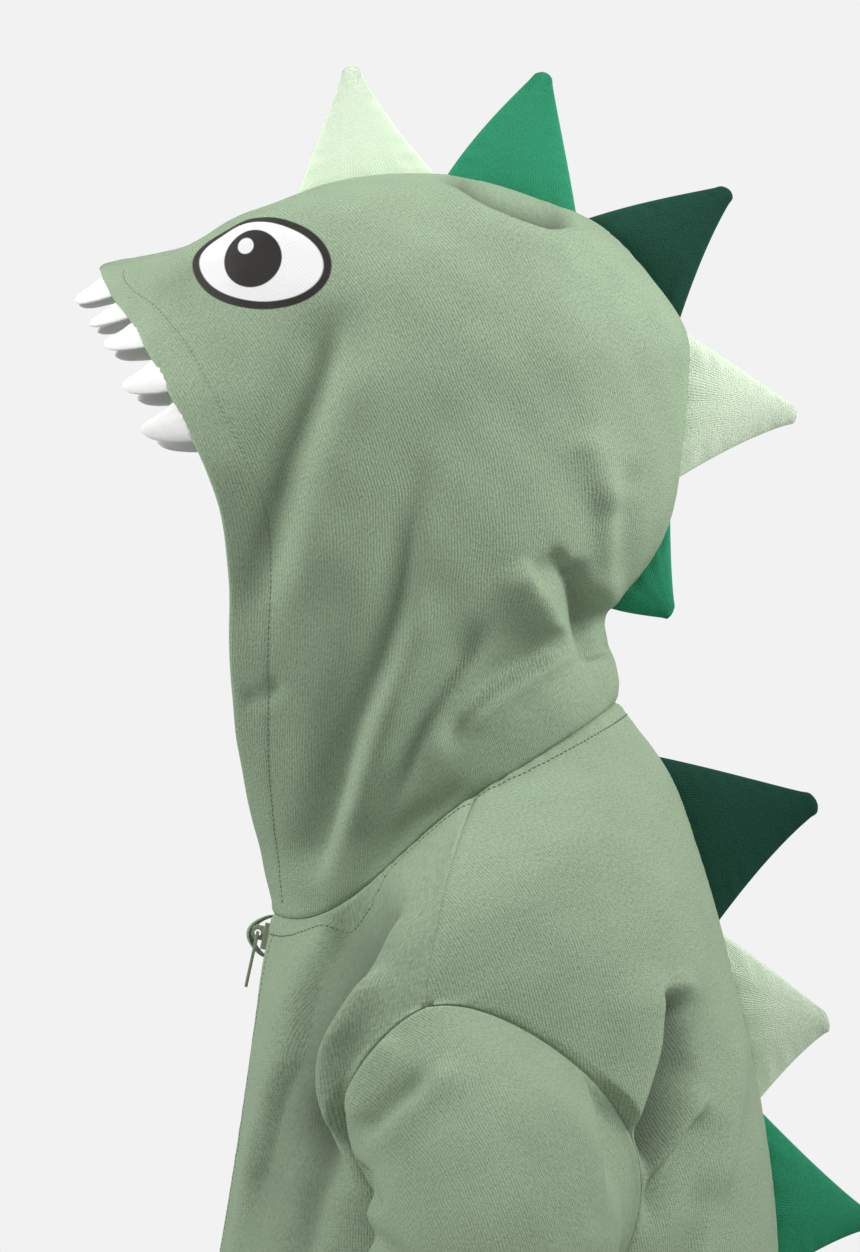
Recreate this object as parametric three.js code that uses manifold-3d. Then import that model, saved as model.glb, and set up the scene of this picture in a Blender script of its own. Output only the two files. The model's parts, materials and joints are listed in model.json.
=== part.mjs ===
// A child's zip-up hoodie in brushed sweatshirt cloth, cut as a dinosaur: a slouched hood with padded spikes in
// its centre seam and down the centre back, and soft cloth teeth round the face opening. It is worn and filled
// out, with the arms hanging, so every wall is hollow and the neck, face, cuffs and hem are open.
// Millimetres. +Z is up, the wearer faces -Y and the wearer's left is +X. The origin is in the middle of the neck
// opening, level with the upper ends of the shoulder seams, where the garment rests on the wearer.
import * as THREE from 'three';
import { mergeVertices } from 'three/addons/utils/BufferGeometryUtils.js';
import Module from 'manifold-3d';

// Cloth, seams and mesh fineness
const CLOTH = 2.2; // thickness of the sweatshirt cloth
const GAP = 0.3; // clearance between two pieces that are sewn together
const NORMAL_STEP = 1e-3; // step for reading a surface's slope
const ARMHOLE_ROWS = 12; // rows of the body beside the armhole, half the points round a sleeve
const HOOD_ROWS = 30;
const HOOD_COLUMNS = 15;
const FRONT_COLUMNS = 9; // behind the strip along the zip
const BACK_COLUMNS = 11;
const SLEEVE_ROWS = 12;

// The body, as rings from the hem to the neck seam: the centre front, the left side and the centre back of each.
// box below 1 squares a ring off, and scoop lowers it between the centre front and the side.
const BODY = [
  { at: -0.1, frontY: -110, frontZ: -477, sideX: 123, sideY: 8, sideZ: -477, backY: 130, backZ: -477, box: 0.86, scoop: 0 },
  { at: -0.05, frontY: -111, frontZ: -456, sideX: 124, sideY: 8, sideZ: -456, backY: 131, backZ: -456, box: 0.86, scoop: 0 },
  { at: 0, frontY: -114, frontZ: -432, sideX: 126, sideY: 8, sideZ: -432, backY: 134, backZ: -432, box: 0.86, scoop: 0 },
  { at: 0.06, frontY: -121, frontZ: -405, sideX: 131, sideY: 8, sideZ: -405, backY: 140, backZ: -405, box: 0.86, scoop: 0 },
  { at: 0.18, frontY: -121, frontZ: -350, sideX: 131, sideY: 8, sideZ: -350, backY: 140, backZ: -350, box: 0.86, scoop: 0 },
  { at: 0.34, frontY: -116, frontZ: -275, sideX: 130, sideY: 10, sideZ: -275, backY: 139, backZ: -275, box: 0.86, scoop: 0 },
  { at: 0.44, frontY: -109, frontZ: -228, sideX: 130, sideY: 14, sideZ: -228, backY: 137, backZ: -228, box: 0.86, scoop: 0 },
  { at: 0.56, frontY: -101.5, frontZ: -185, sideX: 135, sideY: 6, sideZ: -185, backY: 135, backZ: -175, box: 0.86, scoop: 0 },
  { at: 0.68, frontY: -95.5, frontZ: -148, sideX: 141, sideY: -3, sideZ: -138, backY: 127, backZ: -120, box: 0.87, scoop: 0 },
  { at: 0.8, frontY: -90.5, frontZ: -114, sideX: 146, sideY: -14, sideZ: -81, backY: 113, backZ: -60, box: 0.9, scoop: 0 },
  { at: 0.87, frontY: -87.5, frontZ: -92, sideX: 130, sideY: -8, sideZ: -40, backY: 102, backZ: -22, box: 0.93, scoop: 2 },
  { at: 0.94, frontY: -84.5, frontZ: -70, sideX: 100, sideY: 0, sideZ: -12, backY: 89, backZ: 12, box: 0.97, scoop: 7 },
  { at: 1, frontY: -80, frontZ: -48.5, sideX: 70, sideY: 7, sideZ: 4, backY: 66.7, backZ: 42, box: 1, scoop: 12 },
];
const HEM_BOTTOM = -0.1;
const HEM_SEAM = 0;
const UNDERARM = 0.44; // where the side seam ends and the armhole starts
const SHOULDER_TIP = 0.8; // where the armhole ends and the shoulder seam starts
const NECK_SEAM = 1;
const ARMHOLE = { forward: 41, backward: 73, forwardPeak: 2.1, backwardPeak: 1.15, round: 0.6 };
const FRONT_EDGE_X = 5.5; // half of the slot between the fronts, where the zip shows

// The sleeve, as rings from the armhole to the cuff seam. inner is the side that faces the body, outer the far side.
const SLEEVE = [
  { at: 0, innerX: 130, innerZ: -228, outerX: 146, outerZ: -81, midY: 13, depth: 62 },
  { at: 0.08, innerX: 135, innerZ: -234, outerX: 164, outerZ: -99, midY: 11, depth: 55 },
  { at: 0.18, innerX: 137, innerZ: -241, outerX: 187, outerZ: -130, midY: 13, depth: 51 },
  { at: 0.3, innerX: 138, innerZ: -250, outerX: 205, outerZ: -170, midY: 14, depth: 49 },
  { at: 0.42, innerX: 138, innerZ: -263, outerX: 214, outerZ: -213, midY: 15, depth: 48 },
  { at: 0.54, innerX: 138.5, innerZ: -284, outerX: 218, outerZ: -260, midY: 14, depth: 47 },
  { at: 0.68, innerX: 140, innerZ: -320, outerX: 218, outerZ: -308, midY: 10, depth: 45 },
  { at: 0.82, innerX: 142, innerZ: -362, outerX: 214, outerZ: -358, midY: 4, depth: 43 },
  { at: 0.93, innerX: 143, innerZ: -398, outerX: 209, outerZ: -396, midY: -2, depth: 39 },
  { at: 1, innerX: 150, innerZ: -414, outerX: 201, outerZ: -414, midY: -5, depth: 29 },
];
const SLEEVE_FIRST = 0.003; // the first ring, clear of the armhole
const SLEEVE_BLEND = 0.14; // share of the sleeve over which it leaves the armhole's own outline

// The hood's left half, as rings from the neck seam up and over to the brim. edge is the face opening and seam the
// centre seam. sideX is a ring's greatest half width, edgeX its half width at the opening, crest sharpens the seam.
const HOOD = [
  { at: 0, edgeY: -80.8, edgeZ: -48.2, seamY: 66.7, seamZ: 42, sideX: 70, edgeX: 3.5, crest: 0 },
  { at: 0.038, edgeY: -85, edgeZ: -30, seamY: 67.5, seamZ: 51.6, sideX: 73, edgeX: 14, crest: 0 },
  { at: 0.08, edgeY: -89.5, edgeZ: -8.6, seamY: 65.8, seamZ: 60.2, sideX: 76, edgeX: 30, crest: 0 },
  { at: 0.127, edgeY: -93.5, edgeZ: 17, seamY: 62.8, seamZ: 68.8, sideX: 79, edgeX: 46, crest: 0 },
  { at: 0.178, edgeY: -96.3, edgeZ: 43, seamY: 62.8, seamZ: 80.8, sideX: 82, edgeX: 60, crest: 0 },
  { at: 0.242, edgeY: -97.6, edgeZ: 68.8, seamY: 77.4, seamZ: 96.8, sideX: 86, edgeX: 71, crest: 0 },
  { at: 0.313, edgeY: -98, edgeZ: 94.6, seamY: 89.4, seamZ: 120.4, sideX: 89, edgeX: 79, crest: 0 },
  { at: 0.386, edgeY: -100.6, edgeZ: 120.4, seamY: 94.6, seamZ: 148.4, sideX: 91, edgeX: 85, crest: 0 },
  { at: 0.451, edgeY: -106.6, edgeZ: 139.8, seamY: 97.6, seamZ: 176.3, sideX: 92, edgeX: 88.5, crest: 0 },
  { at: 0.506, edgeY: -114, edgeZ: 155.7, seamY: 97.2, seamZ: 200, sideX: 92, edgeX: 87, crest: 0 },
  { at: 0.562, edgeY: -121.3, edgeZ: 169.9, seamY: 83.9, seamZ: 221.5, sideX: 91, edgeX: 83, crest: 0.05 },
  { at: 0.628, edgeY: -129, edgeZ: 184.9, seamY: 62.4, seamZ: 245, sideX: 88, edgeX: 73, crest: 0.1 },
  { at: 0.686, edgeY: -135, edgeZ: 195.2, seamY: 34.4, seamZ: 258, sideX: 84, edgeX: 61, crest: 0.12 },
  { at: 0.753, edgeY: -140.2, edgeZ: 204.3, seamY: -4.3, seamZ: 267.9, sideX: 78, edgeX: 47, crest: 0.15 },
  { at: 0.823, edgeY: -145.3, edgeZ: 211, seamY: -47.3, seamZ: 266.2, sideX: 69, edgeX: 33, crest: 0.2 },
  { at: 0.881, edgeY: -149.2, edgeZ: 216.3, seamY: -81.7, seamZ: 254.6, sideX: 53, edgeX: 23, crest: 0.25 },
  { at: 0.933, edgeY: -152.2, edgeZ: 221, seamY: -111.8, seamZ: 239.5, sideX: 34, edgeX: 16, crest: 0.2 },
  { at: 0.974, edgeY: -153.9, edgeZ: 224.9, seamY: -137.6, seamZ: 233, sideX: 15, edgeX: 9.5, crest: 0.1 },
  { at: 1, edgeY: -154.8, edgeZ: 227.9, seamY: -152.8, seamZ: 229.8, sideX: 4, edgeX: 3, crest: 0 },
];
const HOOD_BLEND = 0.14; // share of the hood over which it leaves the neck seam's own outline
const HOOD_FIRST = 0.0014; // the first ring, clear of the neck seam
const HOOD_LAST = 0.994; // the last ring, a hair short of the brim's point

// Folds, seen from the left side: each runs from a point, by a point, to a point, as [y, z]. width is the half
// width at both ends, and a positive height is a ridge and a negative one a trough.
const HOOD_FOLDS = [
  { from: [-41, 216], by: [-70, 162], to: [-90, 66], width: [9, 15], height: -6 },
  { from: [-30, 190], by: [-52, 138], to: [-70, 70], width: [13, 13], height: 3 },
  { from: [-10, 168], by: [-37, 80], to: [-73, -48], width: [12, 11], height: -6 },
  { from: [-13, 103], by: [-28, 43], to: [-55, -40], width: [10, 9], height: 3.5 },
  { from: [9, 84], by: [-22, 26], to: [-41, -30], width: [9, 9], height: -5 },
  { from: [46, 64], by: [4, 34], to: [-22, -17], width: [9, 9], height: -4.5 },
  { from: [18, 90], by: [36, 90], to: [50, 60], width: [9, 9], height: 4.5 },
  { from: [34, 108], by: [55, 100], to: [60, 60], width: [9, 8], height: -5 },
  { from: [52, 140], by: [60, 120], to: [62, 92], width: [9, 9], height: 3.5 },
  { from: [-12, 264], by: [20, 248], to: [58, 240], width: [9, 9], height: 3 },
  { from: [-107, 238], by: [-66, 247], to: [-24, 258], width: [9, 9], height: 2.5 },
];
const BODY_FOLDS = [
  { from: [-50, -52], by: [-78, -125], to: [-98, -262], width: [9, 11], height: 4 },
  { from: [-22, -40], by: [-60, -92], to: [-74, -170], width: [9, 11], height: -6 },
  { from: [-14, -44], by: [-54, -104], to: [-38, -172], width: [9, 9], height: 6 },
  { from: [92, -70], by: [84, -108], to: [64, -176], width: [9, 10], height: -6 },
  { from: [58, -74], by: [74, -118], to: [60, -166], width: [10, 10], height: 4 },
  { from: [126, -96], by: [114, -150], to: [96, -236], width: [11, 12], height: 4 },
  { from: [107, -150], by: [92, -196], to: [70, -236], width: [10, 11], height: -4 },
  { from: [84, -240], by: [92, -300], to: [86, -390], width: [11, 13], height: -5 },
  { from: [112, -250], by: [108, -320], to: [112, -400], width: [12, 13], height: 3.5 },
  { from: [-70, -250], by: [-62, -330], to: [-70, -405], width: [12, 13], height: 4 },
  { from: [-92, -300], by: [-88, -350], to: [-94, -410], width: [11, 12], height: -4 },
];
const SLEEVE_FOLDS = [
  { from: [-40, -96], by: [-38, -125], to: [-30, -156], width: [11, 11], height: -3 },
  { from: [0, -106], by: [-25, -132], to: [-46, -160], width: [11, 10], height: 4 },
  { from: [-50, -170], by: [-34, -177], to: [-12, -188], width: [9, 9], height: -5 },
  { from: [48, -98], by: [61, -126], to: [66, -164], width: [9, 9], height: -4 },
  { from: [60, -172], by: [46, -206], to: [26, -244], width: [11, 11], height: -4 },
  { from: [-44, -256], by: [-12, -272], to: [24, -268], width: [10, 11], height: -5 },
  { from: [-44, -296], by: [-12, -304], to: [26, -294], width: [10, 11], height: -5.5 },
  { from: [-42, -336], by: [-14, -338], to: [18, -326], width: [10, 10], height: -4.5 },
  { from: [60, -296], by: [36, -318], to: [4, -352], width: [11, 11], height: 4 },
  { from: [46, -346], by: [20, -374], to: [-10, -388], width: [10, 10], height: -4 },
];
const RIGHT_FOLDS = { shiftY: 3, shiftZ: -6, share: 0.85 }; // the right side folds alike, but not as a mirror image
const FOLD_FADE = 0.22; // share of a fold's length over which each end dies out
const SEAM_FADE = 0.05; // share of a surface over which folds die out towards its cross seams
const ZIP_FADE = 16; // width over which the body's folds die out towards the zip and the centre back

// Rib knit at the hem and cuffs
const RIB_HEIGHT = 0.7;
const HEM_RIBS = 84;
const CUFF_RIBS = 24;
const CUFF = { length: 52, taper: 0.9, forward: 4 };

// The zip
const TAPE = { halfWidth: 14, near: 0.4, outerDepth: 2.9, innerDepth: 3.6 };
const CHAIN = { halfWidth: 2.7, proud: 0.6, depth: 2.2 };
const SLIDER = { halfWidth: 4.6, footHalfWidth: 3.4, up: 5.5, down: 6, proud: 2.6, depth: 2.1, centreZ: -58.5 };
const BRIDGE = { halfWidth: 0.9, reach: 7.6, up: 3.4, down: 2.9, eye: 1.45 };
const PULL = { pivotOut: 5, pivotUp: 0.4, halfWidth: 2.6, window: 1.4, windowEnd: 5.2, length: 24, half: 0.7 };
const BOX_END = { halfWidth: 3.9, height: 9, proud: 1.2, depth: 2.1, bottomZ: -476 };
const GUARD = { nearX: -6.3, farX: -15.5, top: 0.985, bottom: 0.944, lift: 7.5, seat: 0.35, thickness: 1.6 };

// Spikes, hood first. On the hood, from and to are places along the hood's rings. On the back they are heights.
const SPIKE = { edge: 1.2, middle: 4.2, points: 10, seat: 0.9 }; // half thicknesses, and clearance from the seam
const HOOD_SPIKES = [
  { name: 'spike_01', colour: 'pale', from: 0.864, to: 0.76, tipY: -47, tipZ: 315.5, lean: 1, bowA: 0, bowB: -2.2 },
  { name: 'spike_02', colour: 'bright', from: 0.757, to: 0.654, tipY: 36.5, tipZ: 313, lean: -2, bowA: 2.4, bowB: 0.4 },
  { name: 'spike_03', colour: 'deep', from: 0.649, to: 0.519, tipY: 116, tipZ: 262, lean: 2, bowA: 1.6, bowB: -1.6 },
  { name: 'spike_04', colour: 'pale', from: 0.512, to: 0.357, tipY: 145, tipZ: 165.5, lean: -3, bowA: 1, bowB: -2 },
  { name: 'spike_05', colour: 'bright', from: 0.338, to: 0.184, tipY: 91, tipZ: 80, lean: 5, bowA: -1, bowB: 1 },
];
const BACK_SPIKES = [
  { name: 'spike_06', colour: 'deep', from: 20, to: -53.5, tipY: 153.5, tipZ: -1, lean: 0, bowA: 0.8, bowB: -2 },
  { name: 'spike_07', colour: 'pale', from: -56, to: -130, tipY: 158.5, tipZ: -95, lean: 4, bowA: 1.4, bowB: -1.4 },
  { name: 'spike_08', colour: 'bright', from: -132, to: -205, tipY: 177, tipZ: -181, lean: -3, bowA: -1.4, bowB: -1.6 },
  { name: 'spike_09', colour: 'deep', from: -207.5, to: -280, tipY: 187, tipZ: -250, lean: 2, bowA: 0.8, bowB: -1.6 },
  { name: 'spike_10', colour: 'pale', from: -282.5, to: -353, tipY: 189, tipZ: -325, lean: -2, bowA: 1, bowB: -1.4 },
  { name: 'spike_11', colour: 'bright', from: -355.5, to: -425, tipY: 187, tipZ: -399, lean: 1, bowA: 0.8, bowB: -1.4 },
];
// How a spike or tooth narrows and thins from its base to its rounded tip, as shares
const TAPER = [
  { height: 0, width: 1, thick: 0.3 },
  { height: 0.1, width: 0.905, thick: 0.85 },
  { height: 0.3, width: 0.715, thick: 1 },
  { height: 0.55, width: 0.475, thick: 0.8 },
  { height: 0.78, width: 0.26, thick: 0.6 },
  { height: 0.93, width: 0.135, thick: 0.42 },
  { height: 1, width: 0.04, thick: 0.16 },
];

// Teeth along the left edge of the face opening, from the brim down. reach is the tip from the base's middle.
const TOOTH = { edge: 0.7, middle: 1.6, points: 8, seat: 0.8 };
const TEETH = [
  { from: 0.984, to: 0.872, reachX: -1, reachY: -13.5, reachZ: -6.4, bowA: -0.6, bowB: 1 },
  { from: 0.848, to: 0.767, reachX: -2, reachY: -13.8, reachZ: -6.2, bowA: -0.8, bowB: 1 },
  { from: 0.752, to: 0.67, reachX: -3, reachY: -14.5, reachZ: -4.6, bowA: -1, bowB: 1 },
  { from: 0.645, to: 0.576, reachX: -3, reachY: -15.2, reachZ: -5.2, bowA: -1, bowB: 1.2 },
  { from: 0.562, to: 0.492, reachX: -3, reachY: -16.8, reachZ: -4.4, bowA: -1, bowB: 1.2 },
];

const COLOURS = {
  sage: { color: 0x8ea887, roughness: 0.92 },
  pale: { color: 0xd3ebca, roughness: 0.9 },
  bright: { color: 0x2f8f5e, roughness: 0.9 },
  deep: { color: 0x1e4d3c, roughness: 0.9 },
  white: { color: 0xf3f2ee, roughness: 0.9 },
  tape: { color: 0x849c74, roughness: 0.8 },
  metal: { color: 0x6f8060, roughness: 0.45, metalness: 0.3 },
};

const wasm = await Module();
wasm.setup();
const part = new THREE.Group();

const mix = (a, b, share) => a + (b - a) * share;
const clamp01 = (value) => Math.min(Math.max(value, 0), 1);
const smooth = (value) => clamp01(value) ** 2 * (3 - 2 * clamp01(value));
const signedPower = (value, power) => Math.sign(value) * Math.abs(value) ** power;
const shares = (count) => Array.from({ length: count + 1 }, (_, i) => i / count);

// Reads a table of sections as smooth curves: every column is a cubic through its rows.
function sections(rows) {
  const columns = Object.keys(rows[0]).filter((name) => name !== 'at');
  const last = rows.length - 1;
  const slope = (name, i) => {
    const before = rows[Math.max(i - 1, 0)];
    const after = rows[Math.min(i + 1, last)];
    return (after[name] - before[name]) / (after.at - before.at);
  };
  return (at) => {
    let i = 0;
    while (i < last - 1 && at > rows[i + 1].at) i += 1;
    const span = rows[i + 1].at - rows[i].at;
    const t = (at - rows[i].at) / span;
    const [t2, t3] = [t * t, t * t * t];
    const read = (name) =>
      rows[i][name] * (2 * t3 - 3 * t2 + 1) +
      slope(name, i) * span * (t3 - 2 * t2 + t) +
      rows[i + 1][name] * (3 * t2 - 2 * t3) +
      slope(name, i + 1) * span * (t3 - t2);
    return Object.fromEntries(columns.map((name) => [name, read(name)]));
  };
}
const bodySection = sections(BODY);
const sleeveSection = sections(SLEEVE);
const hoodSection = sections(HOOD);

// A ring's coordinate through its front, side and back values, where c is 1, 0 and -1.
const throughThree = (front, side, back, c) =>
  side + ((front - back) / 2) * c + ((front + back) / 2 - side) * c * c;

// A point of the body's outer face: angle is 0 at the centre front, half a turn at the centre back, +X between.
function bodyPoint(angle, at) {
  const ring = bodySection(at);
  const c = signedPower(Math.cos(angle), ring.box);
  const x = ring.sideX * signedPower(Math.sin(angle), ring.box);
  const scoop = c > 0 ? ring.scoop * 4 * c * c * (1 - c * c) : 0;
  return new THREE.Vector3(
    x,
    throughThree(ring.frontY, ring.sideY, ring.backY, c),
    throughThree(ring.frontZ, ring.sideZ, ring.backZ, c) - scoop,
  );
}

// The angle at which a ring of the body has a given half width near the centre front.
function frontAngle(halfWidth, at) {
  const ring = bodySection(at);
  return Math.asin((halfWidth / ring.sideX) ** (1 / ring.box));
}

// The angle at which a ring of the body has a given y.
function angleAtY(y, at) {
  const ring = bodySection(at);
  const linear = (ring.frontY - ring.backY) / 2;
  const square = (ring.frontY + ring.backY) / 2 - ring.sideY;
  const c = (2 * (y - ring.sideY)) / (linear - Math.sqrt(linear ** 2 + 4 * square * (y - ring.sideY)));
  return Math.acos(signedPower(c, 1 / ring.box));
}

// The armhole's front and back edge on a ring of the body. Outside the armhole both are the side or shoulder seam.
function armholeAngles(at) {
  const rise = (at - UNDERARM) / (SHOULDER_TIP - UNDERARM);
  if (rise <= 0 || rise >= 1) return { front: Math.PI / 2, back: Math.PI / 2 };
  const { sideY } = bodySection(at);
  const spread = (peak) => Math.sin(Math.PI * rise ** peak) ** ARMHOLE.round;
  return {
    front: angleAtY(sideY - ARMHOLE.forward * spread(ARMHOLE.forwardPeak), at),
    back: angleAtY(sideY + ARMHOLE.backward * spread(ARMHOLE.backwardPeak), at),
  };
}

// A point of the hood's outer face: across is 0 at the face opening and 1 at the centre seam.
function hoodPoint(across, at) {
  const shape = hoodSection(at);
  const start = Math.asin(Math.min(shape.edgeX / shape.sideX, 1));
  const angle = mix(start, Math.PI, across);
  const share = (Math.cos(start) - Math.cos(angle)) / (Math.cos(start) + 1);
  const sine = Math.sin(angle);
  const crest = angle > Math.PI / 2 ? shape.crest : 0;
  const point = new THREE.Vector3(
    shape.sideX * signedPower(sine, 1 + crest),
    mix(shape.edgeY, shape.seamY, share),
    mix(shape.edgeZ, shape.seamZ, share),
  );
  if (at >= HOOD_BLEND) return point;
  if (at > 0) return point.lerp(neckBlend(across, point), 1 - smooth(at / HOOD_BLEND));
  return neckBlend(across, point);
}

// Moves a hood point by as much as the neck seam's own outline differs from the hood's first ring.
function neckBlend(across, point) {
  const first = hoodSection(0);
  const start = Math.asin(first.edgeX / first.sideX);
  const angle = mix(start, Math.PI, across);
  const share = (Math.cos(start) - Math.cos(angle)) / (Math.cos(start) + 1);
  const plain = new THREE.Vector3(
    first.sideX * Math.sin(angle),
    mix(first.edgeY, first.seamY, share),
    mix(first.edgeZ, first.seamZ, share),
  );
  return point.clone().add(bodyPoint(angle, NECK_SEAM)).sub(plain);
}

// The height of a side's folds at a place seen from that side.
function foldHeight(folds, side, y, z) {
  const right = side < 0;
  const py = right ? y - RIGHT_FOLDS.shiftY : y;
  const pz = right ? z - RIGHT_FOLDS.shiftZ : z;
  const share = right ? RIGHT_FOLDS.share : 1;
  return share * folds.reduce((sum, fold) => {
    const [dy, dz] = [fold.to[0] - fold.from[0], fold.to[1] - fold.from[1]];
    const length = Math.hypot(dy, dz);
    const along = (qy, qz) => ((qy - fold.from[0]) * dy + (qz - fold.from[1]) * dz) / length ** 2;
    const beside = (qy, qz) => ((qy - fold.from[0]) * dz - (qz - fold.from[1]) * dy) / length;
    const middle = along(...fold.by);
    const bow = beside(...fold.by) / (4 * middle * (1 - middle));
    const t = along(py, pz);
    if (t <= 0 || t >= 1) return sum;
    const off = (beside(py, pz) - bow * 4 * t * (1 - t)) / mix(...fold.width, t);
    return sum + fold.height * Math.exp(-off * off) * smooth(t / FOLD_FADE) * smooth((1 - t) / FOLD_FADE);
  }, 0);
}

// The outward normal of a surface of two parameters. turn is -1 where their order faces inwards.
function normalAt(surface, a, b, turn = 1) {
  const along = surface(a + NORMAL_STEP, b).sub(surface(a - NORMAL_STEP, b));
  const across = surface(a, b + NORMAL_STEP).sub(surface(a, b - NORMAL_STEP));
  return along.cross(across).normalize().multiplyScalar(turn);
}

// A surface with its folds raised. fade is the share of the folds' height at each place.
function folded(surface, folds, side, fade, turn = 1) {
  return (a, b) => {
    const point = surface(a, b);
    const height = foldHeight(folds, side, point.y, point.z) * fade(a, b);
    return point.addScaledVector(normalAt(surface, a, b, turn), height);
  };
}
const bodyFade = (angle, at) =>
  smooth((NECK_SEAM - at) / SEAM_FADE) *
  smooth((at - HEM_SEAM) / SEAM_FADE) *
  smooth((bodyPoint(angle, at).x - TAPE.halfWidth) / ZIP_FADE);
const hoodFade = (across, at) => smooth(at / SEAM_FADE) * smooth((1 - across) / 0.06);
const sleeveFade = (angle, at) => smooth(at / SEAM_FADE) * smooth((1 - at) / SEAM_FADE);
const foldedBody = (side) => folded(bodyPoint, BODY_FOLDS, side, bodyFade);
const foldedHood = (side) => folded(hoodPoint, HOOD_FOLDS, side, hoodFade);

// A point of the sleeve's outer face: angle is 0 on the far side, a quarter turn at the back, half a turn inside.
function sleevePoint(side) {
  const body = foldedBody(side);
  const first = sleeveSection(0);
  const ringPoint = (ring, angle) => {
    const c = Math.cos(angle);
    return new THREE.Vector3(
      mix(ring.innerX, ring.outerX, (1 + c) / 2),
      ring.midY + ring.depth * Math.sin(angle),
      mix(ring.innerZ, ring.outerZ, (1 + c) / 2),
    );
  };
  const armhole = (angle) => {
    const at = mix(UNDERARM, SHOULDER_TIP, (1 + Math.cos(angle)) / 2);
    const edges = armholeAngles(at);
    return body(Math.sin(angle) >= 0 ? edges.back : edges.front, at);
  };
  return (angle, at) => {
    const point = ringPoint(sleeveSection(at), angle);
    if (at >= SLEEVE_BLEND) return point;
    const own = armhole(angle).sub(ringPoint(first, angle));
    return point.addScaledVector(own, 1 - smooth(at / SLEEVE_BLEND));
  };
}

// A closed wall between a grid of outer points and a grid of inner points. A closed grid joins its last column to
// its first, as in a sleeve.
function wallGeometry(outer, inner, closed = false) {
  const rows = outer.length;
  const columns = outer[0].length;
  const positions = [...outer, ...inner].flat().flatMap((point) => point.toArray());
  const outerIndex = (i, j) => i * columns + (j % columns);
  const innerIndex = (i, j) => rows * columns + outerIndex(i, j);
  const index = [];
  const quad = (a, b, c, d) => index.push(a, b, c, a, c, d);
  const cells = closed ? columns : columns - 1;
  for (let i = 0; i < rows - 1; i += 1) {
    for (let j = 0; j < cells; j += 1) {
      quad(outerIndex(i, j), outerIndex(i, j + 1), outerIndex(i + 1, j + 1), outerIndex(i + 1, j));
      quad(innerIndex(i, j), innerIndex(i + 1, j), innerIndex(i + 1, j + 1), innerIndex(i, j + 1));
    }
  }
  for (let j = 0; j < cells; j += 1) {
    quad(outerIndex(0, j), innerIndex(0, j), innerIndex(0, j + 1), outerIndex(0, j + 1));
    const top = rows - 1;
    quad(outerIndex(top, j), outerIndex(top, j + 1), innerIndex(top, j + 1), innerIndex(top, j));
  }
  for (let i = 0; i < rows - 1 && !closed; i += 1) {
    const last = columns - 1;
    quad(outerIndex(i, 0), outerIndex(i + 1, 0), innerIndex(i + 1, 0), innerIndex(i, 0));
    quad(outerIndex(i, last), innerIndex(i, last), innerIndex(i + 1, last), outerIndex(i + 1, last));
  }
  const geometry = new THREE.BufferGeometry();
  geometry.setAttribute('position', new THREE.Float32BufferAttribute(positions, 3));
  geometry.setIndex(index);
  return facingOut(geometry);
}

// Reverses a closed mesh whose faces point inwards.
function facingOut(geometry) {
  const position = geometry.getAttribute('position');
  const index = geometry.index.array;
  const corner = (k) => new THREE.Vector3().fromBufferAttribute(position, index[k]);
  let volume = 0;
  for (let k = 0; k < index.length; k += 3) volume += corner(k).dot(corner(k + 1).cross(corner(k + 2)));
  if (volume < 0) geometry.setIndex(Array.from(index).reverse());
  geometry.computeVertexNormals();
  return geometry;
}

// Draws a grid's border in towards its neighbours, to leave clearance at a seam.
function inset(grid, { rows = true, columns = true } = {}) {
  const pull = (point, neighbour) => {
    const way = neighbour.clone().sub(point).normalize();
    return point.clone().addScaledVector(way, GAP / 2);
  };
  const lastRow = grid.length - 1;
  const lastColumn = grid[0].length - 1;
  const drawn = grid.map((row) => [...row]);
  if (rows) {
    drawn[0] = grid[0].map((point, j) => pull(point, grid[1][j]));
    drawn[lastRow] = grid[lastRow].map((point, j) => pull(point, grid[lastRow - 1][j]));
  }
  if (!columns) return drawn;
  return drawn.map((row, i) => {
    const ends = [pull(row[0], grid[i][1]), pull(row[lastColumn], grid[i][lastColumn - 1])];
    return [ends[0], ...row.slice(1, lastColumn), ends[1]];
  });
}

// The outer and inner points of a cloth piece at a grid of surface places, mirrored for the right side.
function clothGrids(surface, places, side, { turn = 1, outerDepth = 0, innerDepth = CLOTH } = {}) {
  const sunk = (depth) =>
    places.map((row) =>
      row.map(([a, b]) => {
        const point = surface(a, b).addScaledVector(normalAt(surface, a, b, turn), -depth);
        return side < 0 ? point.setX(-point.x) : point;
      }),
    );
  return [sunk(outerDepth), sunk(innerDepth)];
}

function add(name, geometry, colour, parent = part) {
  const mesh = new THREE.Mesh(geometry, new THREE.MeshStandardMaterial(COLOURS[colour]));
  mesh.name = name;
  parent.add(mesh);
  return mesh;
}

// Adds a sewn cloth piece on a surface, clear of its neighbours all round.
function addCloth(name, surface, places, side, { colour = 'sage', closed = false, ...depths } = {}) {
  const grids = clothGrids(surface, places, side, depths).map((grid) => inset(grid, { columns: !closed }));
  add(name, wallGeometry(...grids, closed), colour);
}

// The body's rows: even up the side seam, close together at both ends of the armhole, even up the shoulder seam.
const armholeRows = shares(ARMHOLE_ROWS).map((k) =>
  mix(UNDERARM, SHOULDER_TIP, (1 - Math.cos(Math.PI * k)) / 2),
);
const SIDE_ROWS = 8;
const SHOULDER_ROWS = 6;
const bodyRows = [
  ...shares(SIDE_ROWS).map((k) => mix(HEM_SEAM, UNDERARM, k)).slice(0, -1),
  ...armholeRows,
  ...shares(SHOULDER_ROWS).map((k) => mix(SHOULDER_TIP, NECK_SEAM, k)).slice(1),
];

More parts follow.
